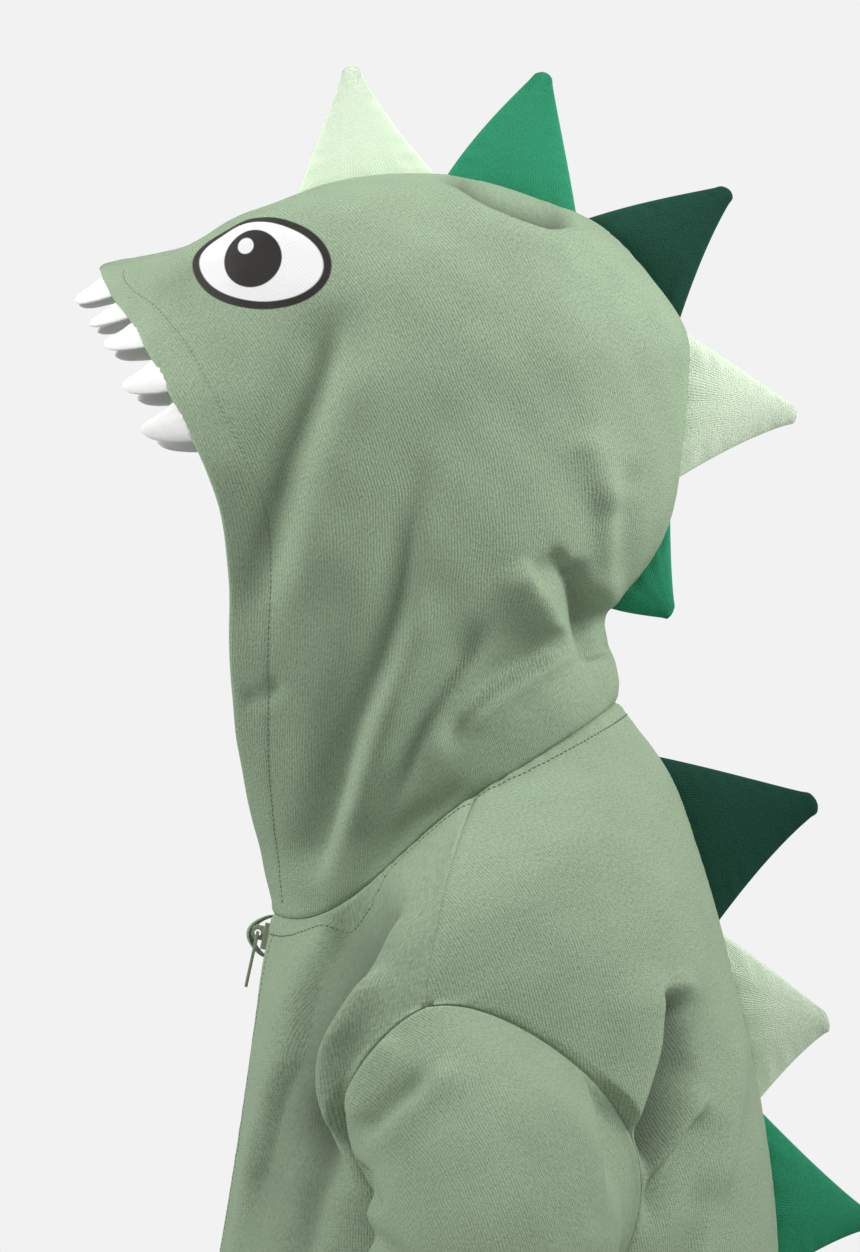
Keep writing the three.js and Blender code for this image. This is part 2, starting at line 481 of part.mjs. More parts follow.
function addBody(side, suffix) {
  const surface = foldedBody(side);
  const panel = (columns, ends) =>
    bodyRows.map((at) => shares(columns).map((k) => [mix(...ends(at), k), at]));
  const besideZip = panel(FRONT_COLUMNS, (at) => [frontAngle(TAPE.halfWidth + 1, at), armholeAngles(at).front]);
  const front = besideZip.map((row) => [[frontAngle(FRONT_EDGE_X, row[0][1]), row[0][1]], ...row]);
  const back = panel(BACK_COLUMNS, (at) => [armholeAngles(at).back, Math.PI]);
  addCloth(`front_${suffix}`, surface, front, side);
  addCloth(`back_${suffix}`, surface, back, side);
}

function addHood(side, suffix) {
  const places = shares(HOOD_ROWS).map((k) =>
    shares(HOOD_COLUMNS).map((across) => [across, mix(HOOD_FIRST, HOOD_LAST, k)]),
  );
  addCloth(`hood_${suffix}`, foldedHood(side), places, side);
}

function addSleeve(side, suffix) {
  const surface = folded(sleevePoint(side), SLEEVE_FOLDS, side, sleeveFade, -1);
  const turns = shares(2 * ARMHOLE_ROWS).slice(0, -1).map((k) => 2 * Math.PI * k);
  const places = shares(SLEEVE_ROWS).map((k) => turns.map((angle) => [angle, mix(SLEEVE_FIRST, 1, k)]));
  addCloth(`sleeve_${suffix}`, surface, places, side, { closed: true, turn: -1 });
}

// Raises every other outer point of a rib-knit band, whose points alternate between ridge and furrow.
function ribbed(outer, inner) {
  return outer.map((row, i) =>
    row.map((point, j) => {
      const out = point.clone().sub(inner[i][j]).normalize();
      return point.addScaledVector(out, j % 2 ? -RIB_HEIGHT : 0);
    }),
  );
}

// Places spread evenly by length along a curve of one parameter.
function evenly(curve, from, to, count) {
  const fine = shares(400).map((k) => mix(from, to, k));
  const lengths = [0];
  fine.slice(1).forEach((value, i) => lengths.push(lengths[i] + curve(value).distanceTo(curve(fine[i]))));
  const total = lengths.at(-1);
  return shares(count).map((k) => {
    const after = Math.max(lengths.findIndex((length) => length >= total * k), 1);
    const share = (total * k - lengths[after - 1]) / (lengths[after] - lengths[after - 1]);
    return mix(fine[after - 1], fine[after], share);
  });
}

function addHemBand() {
  const start = frontAngle(FRONT_EDGE_X, HEM_SEAM);
  const turns = evenly((angle) => bodyPoint(angle, HEM_SEAM), start, 2 * Math.PI - start, 2 * HEM_RIBS);
  const places = [HEM_BOTTOM, HEM_SEAM].map((at) => turns.map((angle) => [angle, at]));
  const [outer, inner] = clothGrids(bodyPoint, places, 1).map((grid) => inset(grid));
  add('hem_band', wallGeometry(ribbed(outer, inner), inner), 'sage');
}

function addCuff(side, suffix) {
  const end = sleeveSection(1);
  const halfX = (end.outerX - end.innerX) / 2;
  const surface = (angle, at) => {
    const size = mix(1, CUFF.taper, smooth(at));
    return new THREE.Vector3(
      end.innerX + halfX + halfX * size * Math.cos(angle),
      end.midY - CUFF.forward * at + end.depth * size * Math.sin(angle),
      end.outerZ - CUFF.length * at,
    );
  };
  const turns = evenly((angle) => surface(angle, 0), 0, 2 * Math.PI, 2 * CUFF_RIBS).slice(0, -1);
  const places = shares(3).map((k) => turns.map((angle) => [angle, k]));
  const [outer, inner] = clothGrids(surface, places, side, { turn: -1 }).map((grid) => inset(grid, { columns: false }));
  add(`cuff_${suffix}`, wallGeometry(ribbed(outer, inner), inner, true), 'sage');
}

// A height on the body's centre front or centre back, as a place along its rings.
function placeAtHeight(z, column) {
  let [low, high] = [HEM_BOTTOM, NECK_SEAM];
  while (high - low > 1e-6) {
    const middle = (low + high) / 2;
    if (bodySection(middle)[column] < z) low = middle;
    else high = middle;
  }
  return low;
}

// A strip that follows the centre front between two half widths, at two depths below the cloth's face.
function addStrip(name, colour, { fromX, toX, from, to, rows, outerDepth, innerDepth }) {
  const places = shares(rows).map((k) => {
    const at = mix(from, to, k);
    const angle = (x) => Math.sign(x) * frontAngle(Math.abs(x), at);
    return [[angle(fromX), at], [angle(toX), at]];
  });
  add(name, wallGeometry(...clothGrids(bodyPoint, places, 1, { outerDepth, innerDepth })), colour);
}

function manifoldOf(geometry) {
  const bare = new THREE.BufferGeometry().setAttribute('position', geometry.getAttribute('position'));
  const merged = mergeVertices(bare, 1e-4);
  return new wasm.Manifold(
    new wasm.Mesh({
      numProp: 3,
      vertProperties: merged.attributes.position.array,
      triVerts: new Uint32Array(merged.index.array),
    }),
  );
}

function geometryOf(solid) {
  const { vertProperties, triVerts } = solid.getMesh();
  const geometry = new THREE.BufferGeometry();
  geometry.setAttribute('position', new THREE.BufferAttribute(vertProperties, 3));
  geometry.setIndex(new THREE.BufferAttribute(triVerts, 1));
  geometry.computeVertexNormals();
  return geometry;
}

// The slider's own frame stands on the centre front, with +Z up along the zip and -Y out of it.
function zipFrame() {
  const at = placeAtHeight(SLIDER.centreZ, 'frontZ');
  const [low, high] = [at - 0.01, at + 0.01].map((place) => bodyPoint(0, place));
  const frame = new THREE.Group();
  frame.position.copy(bodyPoint(0, at));
  frame.rotation.x = -Math.atan2(high.y - low.y, high.z - low.z);
  part.add(frame);
  return frame;
}

function addSlider(frame) {
  const body = new THREE.Shape([
    new THREE.Vector2(-SLIDER.footHalfWidth, -SLIDER.down),
    new THREE.Vector2(SLIDER.footHalfWidth, -SLIDER.down),
    new THREE.Vector2(SLIDER.halfWidth, 0),
    new THREE.Vector2(SLIDER.halfWidth, SLIDER.up - 1.2),
    new THREE.Vector2(SLIDER.halfWidth - 1.2, SLIDER.up),
    new THREE.Vector2(1.2 - SLIDER.halfWidth, SLIDER.up),
    new THREE.Vector2(-SLIDER.halfWidth, SLIDER.up - 1.2),
    new THREE.Vector2(-SLIDER.halfWidth, 0),
  ]);
  const plate = new THREE.ExtrudeGeometry(body, { depth: SLIDER.proud + SLIDER.depth, bevelEnabled: false });
  plate.rotateX(Math.PI / 2).translate(0, SLIDER.depth, 0);

  // The bridge is drawn with x out of the zip and y up it, then stood up between the plates of the pull.
  const foot = SLIDER.proud - 0.5;
  const arch = new THREE.Shape();
  arch.moveTo(foot, PULL.pivotUp - BRIDGE.down);
  arch.lineTo(BRIDGE.reach - 1.6, PULL.pivotUp - BRIDGE.down);
  arch.lineTo(BRIDGE.reach, PULL.pivotUp - BRIDGE.down + 1.6);
  arch.lineTo(BRIDGE.reach, PULL.pivotUp + BRIDGE.up - 1.6);
  arch.lineTo(BRIDGE.reach - 1.6, PULL.pivotUp + BRIDGE.up);
  arch.lineTo(foot, PULL.pivotUp + BRIDGE.up);
  const eye = new THREE.Path();
  eye.absarc(PULL.pivotOut, PULL.pivotUp, BRIDGE.eye, 0, 2 * Math.PI, true);
  arch.holes.push(eye);
  const bridge = new THREE.ExtrudeGeometry(arch, { depth: 2 * BRIDGE.halfWidth, bevelEnabled: false, curveSegments: 8 });
  bridge.translate(0, 0, -BRIDGE.halfWidth).rotateX(Math.PI / 2).rotateZ(-Math.PI / 2);
  add('zip_slider', geometryOf(manifoldOf(plate).add(manifoldOf(bridge))), 'metal', frame);
}

function addPull(frame) {
  const { halfWidth, window, windowEnd, length, half } = PULL;
  const tab = new THREE.Shape();
  tab.moveTo(-halfWidth, half);
  tab.lineTo(halfWidth, half);
  tab.lineTo(halfWidth, halfWidth - length);
  tab.absarc(0, halfWidth - length, halfWidth, 0, Math.PI, true);
  const slot = new THREE.Path([
    new THREE.Vector2(-window, -half),
    new THREE.Vector2(-window, -windowEnd),
    new THREE.Vector2(window, -windowEnd),
    new THREE.Vector2(window, -half),
  ]);
  tab.holes.push(slot);
  const geometry = new THREE.ExtrudeGeometry(tab, { depth: 2 * half, bevelEnabled: false, curveSegments: 6 });
  geometry.rotateX(Math.PI / 2).translate(0, half, 0);
  const pull = add('zip_pull', geometry, 'metal', frame);
  pull.position.set(0, -PULL.pivotOut, PULL.pivotUp);
}

function addZip() {
  const frame = zipFrame();
  addSlider(frame);
  addPull(frame);
  const boxTop = BOX_END.bottomZ + BOX_END.height;
  const chain = {
    from: placeAtHeight(boxTop + GAP, 'frontZ'),
    to: placeAtHeight(SLIDER.centreZ - SLIDER.down - 2 * GAP, 'frontZ'),
    rows: 26,
  };
  addStrip('zip_chain', 'tape', {
    ...chain,
    fromX: -CHAIN.halfWidth,
    toX: CHAIN.halfWidth,
    outerDepth: -CHAIN.proud,
    innerDepth: CHAIN.depth,
  });
  [['zip_tape_left', 1], ['zip_tape_right', -1]].forEach(([name, side]) =>
    addStrip(name, 'tape', {
      from: HEM_BOTTOM + 0.004,
      to: NECK_SEAM - 0.006,
      rows: 28,
      fromX: side > 0 ? TAPE.near : -TAPE.halfWidth,
      toX: side > 0 ? TAPE.halfWidth : -TAPE.near,
      outerDepth: TAPE.outerDepth,
      innerDepth: TAPE.innerDepth,
    }),
  );
  addStrip('zip_box', 'metal', {
    from: placeAtHeight(BOX_END.bottomZ, 'frontZ'),
    to: placeAtHeight(boxTop, 'frontZ'),
    rows: 1,
    fromX: -BOX_END.halfWidth,
    toX: BOX_END.halfWidth,
    outerDepth: -BOX_END.proud,
    innerDepth: BOX_END.depth,
  });
}

// The cloth guard at the zip's upper end, on the right front: a tab seated at both ends that bulges forward.
function addGuard() {
  const columns = 3;
  const rows = 8;
  const points = (extra) =>
    shares(rows).map((k) => {
      const at = mix(GUARD.bottom, GUARD.top, k);
      const lift = GUARD.seat + GUARD.lift * Math.sin(Math.PI * k) ** 0.8 + extra;
      return shares(columns).map((c) => {
        const angle = -frontAngle(-mix(GUARD.farX, GUARD.nearX, c), at);
        return bodyPoint(angle, at).addScaledVector(normalAt(bodyPoint, angle, at), lift);
      });
    });
  add('zip_guard', wallGeometry(points(GUARD.thickness), points(0)), 'sage');
}

// A padded triangle with a rounded tip that stands on a curve. base runs from 0 to 1 along the curve, thin is the
// direction of its thickness, and bowA and bowB push its two sides outwards.
function paddedPoint({ base, tip, thin, edge, middle, points, bowA, bowB }) {
  const [start, end] = [base(0), base(1)];
  const foot = start.clone().lerp(end, 0.5);
  const rise = tip.clone().sub(foot);
  const run = end.clone().sub(start);
  const rings = TAPER.map(({ height, width, thick }) =>
    shares(points).slice(0, -1).map((k) => {
      const turn = 2 * Math.PI * k;
      const share = (1 - Math.cos(turn)) / 2;
      const straight = start.clone().lerp(end, share);
      const curved = base(share).sub(straight).multiplyScalar((1 - height) ** 2);
      const bow = 4 * height * (1 - height);
      const wide = (share - 0.5) * width + (share * bowB - (1 - share) * bowA) * (bow / run.length());
      const thickness = mix(edge, middle, Math.abs(Math.sin(turn))) * thick * Math.sign(Math.sin(turn));
      return foot.clone()
        .addScaledVector(rise, height)
        .addScaledVector(run, wide)
        .add(curved)
        .addScaledVector(thin, Math.abs(Math.sin(turn)) < 1e-9 ? 0 : thickness);
    }),
  );
  return capped(rings);
}

// Closes a stack of rings. Each end is strips across its thickness, so a curved base stays curved.
function capped(rings) {
  const count = rings[0].length;
  const vertices = rings.flat();
  const index = [];
  const quad = (a, b, c, d) => index.push(a, b, c, a, c, d);
  for (let i = 0; i < rings.length - 1; i += 1) {
    for (let j = 0; j < count; j += 1) {
      const [low, high, next] = [i * count, (i + 1) * count, (j + 1) % count];
      quad(low + j, low + next, high + next, high + j);
    }
  }
  const top = (rings.length - 1) * count;
  index.push(0, count - 1, 1, top, top + 1, top + count - 1);
  for (let j = 1; j < count / 2 - 1; j += 1) {
    quad(j, count - j, count - j - 1, j + 1);
    quad(top + j, top + j + 1, top + count - j - 1, top + count - j);
  }
  const half = count / 2;
  index.push(half - 1, half + 1, half, top + half - 1, top + half, top + half + 1);
  const geometry = new THREE.BufferGeometry();
  geometry.setAttribute('position', new THREE.Float32BufferAttribute(vertices.flatMap((p) => p.toArray()), 3));
  geometry.setIndex(index);
  return facingOut(geometry);
}

// A seam in the middle plane, lifted off the cloth. It runs back over the hood and down, so outwards is on its left.
function liftedSeam(seam) {
  return (share) => {
    const run = seam(share + NORMAL_STEP).sub(seam(share - NORMAL_STEP)).normalize();
    return seam(share).add(new THREE.Vector3(0, -run.z, run.y).multiplyScalar(SPIKE.seat));
  };
}

function addSpikes() {
  const sideways = new THREE.Vector3(1, 0, 0);
  const place = (spike, seam) => {
    const tip = new THREE.Vector3(spike.lean, spike.tipY, spike.tipZ);
    const geometry = paddedPoint({ ...SPIKE, ...spike, base: liftedSeam(seam), tip, thin: sideways });
    add(spike.name, geometry, spike.colour);
  };
  HOOD_SPIKES.forEach((spike) => place(spike, (share) => hoodPoint(1, mix(spike.from, spike.to, share))));
  BACK_SPIKES.forEach((spike) => {
    const [from, to] = [spike.from, spike.to].map((z) => placeAtHeight(z, 'backZ'));
    place(spike, (share) => bodyPoint(Math.PI, mix(from, to, share)));
  });
}

function addTeeth(side, suffix) {
  const mirror = new THREE.Vector3(side, 1, 1);
  TEETH.forEach((tooth, number) => {
    const base = (share) => {
      const at = mix(tooth.from, tooth.to, share);
      const outwards = hoodPoint(0, at).sub(hoodPoint(0.02, at)).normalize();
      return hoodPoint(0, at)
        .addScaledVector(normalAt(hoodPoint, 0, at), -CLOTH / 2)
        .addScaledVector(outwards, TOOTH.seat)
        .multiply(mirror);
    };
    const foot = base(0).lerp(base(1), 0.5);
    const reach = new THREE.Vector3(side * tooth.reachX, tooth.reachY, tooth.reachZ);
    const thin = base(1).sub(base(0)).cross(reach).normalize();
    const tip = foot.add(reach);
    add(`tooth_${suffix}_${number + 1}`, paddedPoint({ ...TOOTH, ...tooth, base, tip, thin }), 'white');
  });
}

[[1, 'left'], [-1, 'right']].forEach(([side, suffix]) => {
  addBody(side, suffix);
  addHood(side, suffix);
  addSleeve(side, suffix);
  addCuff(side, suffix);
  addTeeth(side, suffix);
});
addHemBand();
addZip();
addGuard();
addSpikes();

export default part;
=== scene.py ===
"""A child's zip-up hoodie in brushed sweatshirt knit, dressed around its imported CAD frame.

The tables of sections repeat the CAD source's named values, in millimetres. The meshes are made in metres.
+Z is up, the wearer faces -Y and the wearer's left is +X.
"""

from __future__ import annotations

import json
import logging
import math
from dataclasses import dataclass, field
from enum import Enum
from types import SimpleNamespace
from typing import Callable

import bmesh
import bpy
import numpy as np
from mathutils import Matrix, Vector

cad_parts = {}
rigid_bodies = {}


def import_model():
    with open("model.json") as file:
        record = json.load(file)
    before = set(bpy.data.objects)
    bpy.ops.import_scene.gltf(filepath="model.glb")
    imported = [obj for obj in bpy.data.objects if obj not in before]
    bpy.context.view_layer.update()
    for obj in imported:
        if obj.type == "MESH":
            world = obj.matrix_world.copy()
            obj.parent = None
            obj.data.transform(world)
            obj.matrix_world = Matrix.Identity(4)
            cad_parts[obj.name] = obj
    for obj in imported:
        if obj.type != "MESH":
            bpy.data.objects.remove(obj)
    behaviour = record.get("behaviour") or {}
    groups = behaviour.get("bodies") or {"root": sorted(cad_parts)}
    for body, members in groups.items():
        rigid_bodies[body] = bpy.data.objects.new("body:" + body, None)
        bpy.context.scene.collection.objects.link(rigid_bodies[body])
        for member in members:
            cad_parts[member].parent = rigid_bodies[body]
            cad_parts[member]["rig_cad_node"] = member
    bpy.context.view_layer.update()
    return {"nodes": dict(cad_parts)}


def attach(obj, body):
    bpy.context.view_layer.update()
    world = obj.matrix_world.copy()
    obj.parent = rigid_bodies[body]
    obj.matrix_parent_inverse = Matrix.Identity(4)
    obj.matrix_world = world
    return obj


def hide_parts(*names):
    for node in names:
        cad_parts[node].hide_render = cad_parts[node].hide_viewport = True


LOG = logging.getLogger("hoodie")
MM = 0.001
SLOPE_STEP = 1e-3

Array = np.ndarray
Colour = tuple[float, float, float]
Point = tuple[float, float]


def mix(low: Array | float, high: Array | float, share: Array | float) -> Array | float:
    """Returns the value a share of the way from low to high."""
    return low + (high - low) * share


def smooth(value: Array | float) -> Array:
    """Returns a soft step from 0 to 1 as value goes from 0 to 1."""
    held = np.clip(value, 0.0, 1.0)
    return held * held * (3.0 - 2.0 * held)


def signed_power(value: Array, power: Array | float) -> Array:
    """Returns value raised to a power with its sign kept."""
    return np.sign(value) * np.abs(value) ** power


def unit(vectors: Array) -> Array:
    """Returns vectors at length 1."""
    return vectors / np.maximum(np.linalg.norm(vectors, axis=-1, keepdims=True), 1e-12)


def run_length(points: Array, axis: int) -> Array:
    """Measures along a grid of points.

    Args:
        points: The grid, with coordinates on its last axis.
        axis: The grid axis to measure along.

    Returns:
        Each point's distance from the start of its own grid line.
    """
    steps = np.linalg.norm(np.diff(points, axis=axis), axis=-1)
    start = np.zeros_like(np.take(steps, [0], axis=axis))
    return np.concatenate([start, np.cumsum(steps, axis=axis)], axis=axis)


class Side(Enum):
    """The wearer's side that a piece is on."""

    LEFT = 1
    RIGHT = -1

    @property
    def label(self) -> str:
        """Returns the side's name in piece names."""
        return self.name.lower()


class Edge(Enum):
    """The four edges of a cloth panel's grid."""

    FRONT = "first column"
    REAR = "last column"
    LOWER = "first row"
    UPPER = "last row"


class Sections:
    """Reads a table of sections as smooth curves: every column is a cubic through its rows."""

    def __init__(self, columns: tuple[str, ...], rows: tuple[tuple[float, ...], ...]) -> None:
        """Keeps the rows as named columns.

        Args:
            columns: The column names, with the place first.
            rows: The sections, in the order of their places.
        """
        table = np.array(rows, float).T
        self.at = table[0]
        self.columns = dict(zip(columns[1:], table[1:]))

    def read(self, at: Array | float) -> SimpleNamespace:
        """Returns every column at the places."""
        at = np.asarray(at, float)
        last = len(self.at) - 1
        row = np.clip(np.searchsorted(self.at, at, side="left") - 1, 0, last - 1)
        span = self.at[row + 1] - self.at[row]
        t = (at - self.at[row]) / span
        before = np.maximum(np.arange(last + 1) - 1, 0)
        after = np.minimum(np.arange(last + 1) + 1, last)
        found = {}
        for name, column in self.columns.items():
            slope = (column[after] - column[before]) / (self.at[after] - self.at[before])
            found[name] = (
                column[row] * (2 * t**3 - 3 * t**2 + 1)
                + slope[row] * span * (t**3 - 2 * t**2 + t)
                + column[row + 1] * (3 * t**2 - 2 * t**3)
                + slope[row + 1] * span * (t**3 - t**2)
            )
        return SimpleNamespace(**found)


BODY = Sections(
    ("at", "front_y", "front_z", "side_x", "side_y", "side_z", "back_y", "back_z", "box", "scoop"),
    (
        (-0.1, -110, -477, 123, 8, -477, 130, -477, 0.86, 0),
        (-0.05, -111, -456, 124, 8, -456, 131, -456, 0.86, 0),
        (0, -114, -432, 126, 8, -432, 134, -432, 0.86, 0),
        (0.06, -121, -405, 131, 8, -405, 140, -405, 0.86, 0),
        (0.18, -121, -350, 131, 8, -350, 140, -350, 0.86, 0),
        (0.34, -116, -275, 130, 10, -275, 139, -275, 0.86, 0),
        (0.44, -109, -228, 130, 14, -228, 137, -228, 0.86, 0),
        (0.56, -101.5, -185, 135, 6, -185, 135, -175, 0.86, 0),
        (0.68, -95.5, -148, 141, -3, -138, 127, -120, 0.87, 0),
        (0.8, -90.5, -114, 146, -14, -81, 113, -60, 0.9, 0),
        (0.87, -87.5, -92, 130, -8, -40, 102, -22, 0.93, 2),
        (0.94, -84.5, -70, 100, 0, -12, 89, 12, 0.97, 7),
        (1, -80, -48.5, 70, 7, 4, 66.7, 42, 1, 12),
    ),
)
HEM_BOTTOM = -0.1
HEM_SEAM = 0.0
UNDERARM = 0.44
SHOULDER_TIP = 0.8
NECK_SEAM = 1.0
FRONT_EDGE_X = 5.5

SLEEVE = Sections(
    ("at", "inner_x", "inner_z", "outer_x", "outer_z", "mid_y", "depth"),
    (
        (0, 130, -228, 146, -81, 13, 62),
        (0.08, 135, -234, 164, -99, 11, 55),
        (0.18, 137, -241, 187, -130, 13, 51),
        (0.3, 138, -250, 205, -170, 14, 49),
        (0.42, 138, -263, 214, -213, 15, 48),
        (0.54, 138.5, -284, 218, -260, 14, 47),
        (0.68, 140, -320, 218, -308, 10, 45),
        (0.82, 142, -362, 214, -358, 4, 43),
        (0.93, 143, -398, 209, -396, -2, 39),
        (1, 150, -414, 201, -414, -5, 29),
    ),
)
SLEEVE_BLEND = 0.14

HOOD = Sections(
    ("at", "edge_y", "edge_z", "seam_y", "seam_z", "side_x", "edge_x", "crest"),
    (
        (0, -80.8, -48.2, 66.7, 42, 70, 3.5, 0),
        (0.038, -85, -30, 67.5, 51.6, 73, 14, 0),
        (0.08, -89.5, -8.6, 65.8, 60.2, 76, 30, 0),
        (0.127, -93.5, 17, 62.8, 68.8, 79, 46, 0),
        (0.178, -96.3, 43, 62.8, 80.8, 82, 60, 0),
        (0.242, -97.6, 68.8, 77.4, 96.8, 86, 71, 0),
        (0.313, -98, 94.6, 89.4, 120.4, 89, 79, 0),
        (0.386, -100.6, 120.4, 94.6, 148.4, 91, 85, 0),
        (0.451, -106.6, 139.8, 97.6, 176.3, 92, 88.5, 0),
        (0.506, -114, 155.7, 97.2, 200, 92, 87, 0),
        (0.562, -121.3, 169.9, 83.9, 221.5, 91, 83, 0.05),
        (0.628, -129, 184.9, 62.4, 245, 88, 73, 0.1),
        (0.686, -135, 195.2, 34.4, 258, 84, 61, 0.12),
        (0.753, -140.2, 204.3, -4.3, 267.9, 78, 47, 0.15),
        (0.823, -145.3, 211, -47.3, 266.2, 69, 33, 0.2),
        (0.881, -149.2, 216.3, -81.7, 254.6, 53, 23, 0.25),
        (0.933, -152.2, 221, -111.8, 239.5, 34, 16, 0.2),
        (0.974, -153.9, 224.9, -137.6, 233, 15, 9.5, 0.1),
        (1, -154.8, 227.9, -152.8, 229.8, 4, 3, 0),
    ),
)
HOOD_BLEND = 0.14


def through_three(front: Array, side: Array, back: Array, c: Array) -> Array:
    """Returns a ring's coordinate through its front, side and back values, where c is 1, 0 and -1."""
    return side + (front - back) / 2 * c + ((front + back) / 2 - side) * c * c


class Surface:
    """A smooth surface of two parameters."""

    turn = 1.0

    def point(self, a: Array, b: Array) -> Array:
        """Returns the surface's points at the parameters."""
        raise NotImplementedError

    def normal(self, a: Array, b: Array) -> Array:
        """Returns the outward unit normals at the parameters."""
        along = self.point(a + SLOPE_STEP, b) - self.point(a - SLOPE_STEP, b)
        across = self.point(a, b + SLOPE_STEP) - self.point(a, b - SLOPE_STEP)
        return unit(np.cross(along, across)) * self.turn


@dataclass
class BodySurface(Surface):
    """The body's outer face: an angle from the centre front to the centre back, and a place up its rings."""

    armhole_forward: float = 41
    armhole_backward: float = 73
    forward_peak: float = 2.1
    backward_peak: float = 1.15
    armhole_round: float = 0.6

    def point(self, a: Array, b: Array) -> Array:
        """Returns the points at angle a on the rings at b."""
        ring = BODY.read(b)
        c = signed_power(np.cos(a), ring.box)
        x = ring.side_x * signed_power(np.sin(a), ring.box)
        scoop = np.where(c > 0, ring.scoop * 4 * c * c * (1 - c * c), 0.0)
        y = through_three(ring.front_y, ring.side_y, ring.back_y, c)
        z = through_three(ring.front_z, ring.side_z, ring.back_z, c) - scoop
        return np.stack(np.broadcast_arrays(x, y, z), -1)

    def front_angle(self, half_width: Array | float, at: Array) -> Array:
        """Returns the angle at which a ring has a given half width near the centre front."""
        ring = BODY.read(at)
        return np.arcsin((half_width / ring.side_x) ** (1 / ring.box))

    def angle_at_y(self, y: Array, at: Array) -> Array:
        """Returns the angle at which a ring has a given y."""
        ring = BODY.read(at)
        linear = (ring.front_y - ring.back_y) / 2
        square = (ring.front_y + ring.back_y) / 2 - ring.side_y
        off = y - ring.side_y
        c = 2 * off / (linear - np.sqrt(linear**2 + 4 * square * off))
        return np.arccos(signed_power(c, 1 / ring.box))

    def armhole(self, at: Array) -> tuple[Array, Array]:
        """Finds the armhole on the body's rings.

        Args:
            at: The places up the rings.

        Returns:
            The angles of its front and back edge. Outside the armhole both are the side or shoulder seam.
        """
        rise = np.clip((at - UNDERARM) / (SHOULDER_TIP - UNDERARM), 0.0, 1.0)
        side_y = BODY.read(at).side_y
        edges = []
        reaches = (-self.armhole_forward, self.armhole_backward)
        for reach, peak in zip(reaches, (self.forward_peak, self.backward_peak)):
            spread = np.clip(np.sin(np.pi * rise**peak), 0.0, 1.0) ** self.armhole_round
            angle = self.angle_at_y(side_y + reach * spread, at)
            edges.append(np.where(spread < 1e-6, np.pi / 2, angle))
        return edges[0], edges[1]


@dataclass
class HoodSurface(Surface):
    """The hood's left half: across from the face opening to the centre seam, and up from neck to brim."""

    body: BodySurface

    def turn_at(self, across: Array, ring: SimpleNamespace) -> tuple[Array, Array]:
        """Returns the angle round a ring and the share of its depth there."""
        start = np.arcsin(np.minimum(ring.edge_x / ring.side_x, 1))
        angle = mix(start, np.pi, across)
        return angle, (np.cos(start) - np.cos(angle)) / (np.cos(start) + 1)

    def ring_point(self, across: Array, ring: SimpleNamespace) -> Array:
        """Returns the points of a ring, before the neck seam draws it in."""
        angle, share = self.turn_at(across, ring)
        crest = np.where(angle > np.pi / 2, ring.crest, 0.0)
        x = ring.side_x * signed_power(np.sin(angle), 1 + crest)
        y = mix(ring.edge_y, ring.seam_y, share)
        z = mix(ring.edge_z, ring.seam_z, share)
        return np.stack(np.broadcast_arrays(x, y, z), -1)

    def point(self, a: Array, b: Array) -> Array:
        """Returns the points at across a on the rings at b."""
        a, b = np.broadcast_arrays(np.asarray(a, float), np.asarray(b, float))
        first = HOOD.read(np.zeros_like(b))
        angle, _ = self.turn_at(a, first)
        seam = self.body.point(angle, np.full_like(b, NECK_SEAM)) - self.ring_point(a, first)
        return self.ring_point(a, HOOD.read(b)) + seam * (1 - smooth(b / HOOD_BLEND))[..., None]


@dataclass
class SleeveSurface(Surface):
    """The sleeve: an angle from its far side round by the back, and a place from the armhole to the cuff."""

    body: BodySurface
    turn: float = -1.0

    def ring_point(self, angle: Array, ring: SimpleNamespace) -> Array:
        """Returns the points of a plain elliptical ring."""
        share = (1 + np.cos(angle)) / 2
        x = mix(ring.inner_x, ring.outer_x, share)
        y = ring.mid_y + ring.depth * np.sin(angle)
        z = mix(ring.inner_z, ring.outer_z, share)
        return np.stack(np.broadcast_arrays(x, y, z), -1)

    def point(self, a: Array, b: Array) -> Array:
        """Returns the points at angle a on the rings at b."""
        a, b = np.broadcast_arrays(np.asarray(a, float), np.asarray(b, float))
        at = mix(UNDERARM, SHOULDER_TIP, (1 + np.cos(a)) / 2)
        front, back = self.body.armhole(at)
        armhole = self.body.point(np.where(np.sin(a) >= 0, back, front), at)
        own = armhole - self.ring_point(a, SLEEVE.read(np.zeros_like(b)))
        return self.ring_point(a, SLEEVE.read(b)) + own * (1 - smooth(b / SLEEVE_BLEND))[..., None]


@dataclass
class CuffSurface(Surface):
    """A cuff: an angle as on the sleeve, and a place from its seam to its end."""

    length: float = 52
    taper: float = 0.9
    forward: float = 4
    turn: float = -1.0

    def point(self, a: Array, b: Array) -> Array:
        """Returns the points at angle a on the rings at b."""
        end = SLEEVE.read(1.0)
        half_x = (end.outer_x - end.inner_x) / 2
        size = mix(1, self.taper, smooth(b))
        x = end.inner_x + half_x + half_x * size * np.cos(a)
        y = end.mid_y - self.forward * b + end.depth * size * np.sin(a)
        z = end.outer_z - self.length * b
        return np.stack(np.broadcast_arrays(x, y, z), -1)


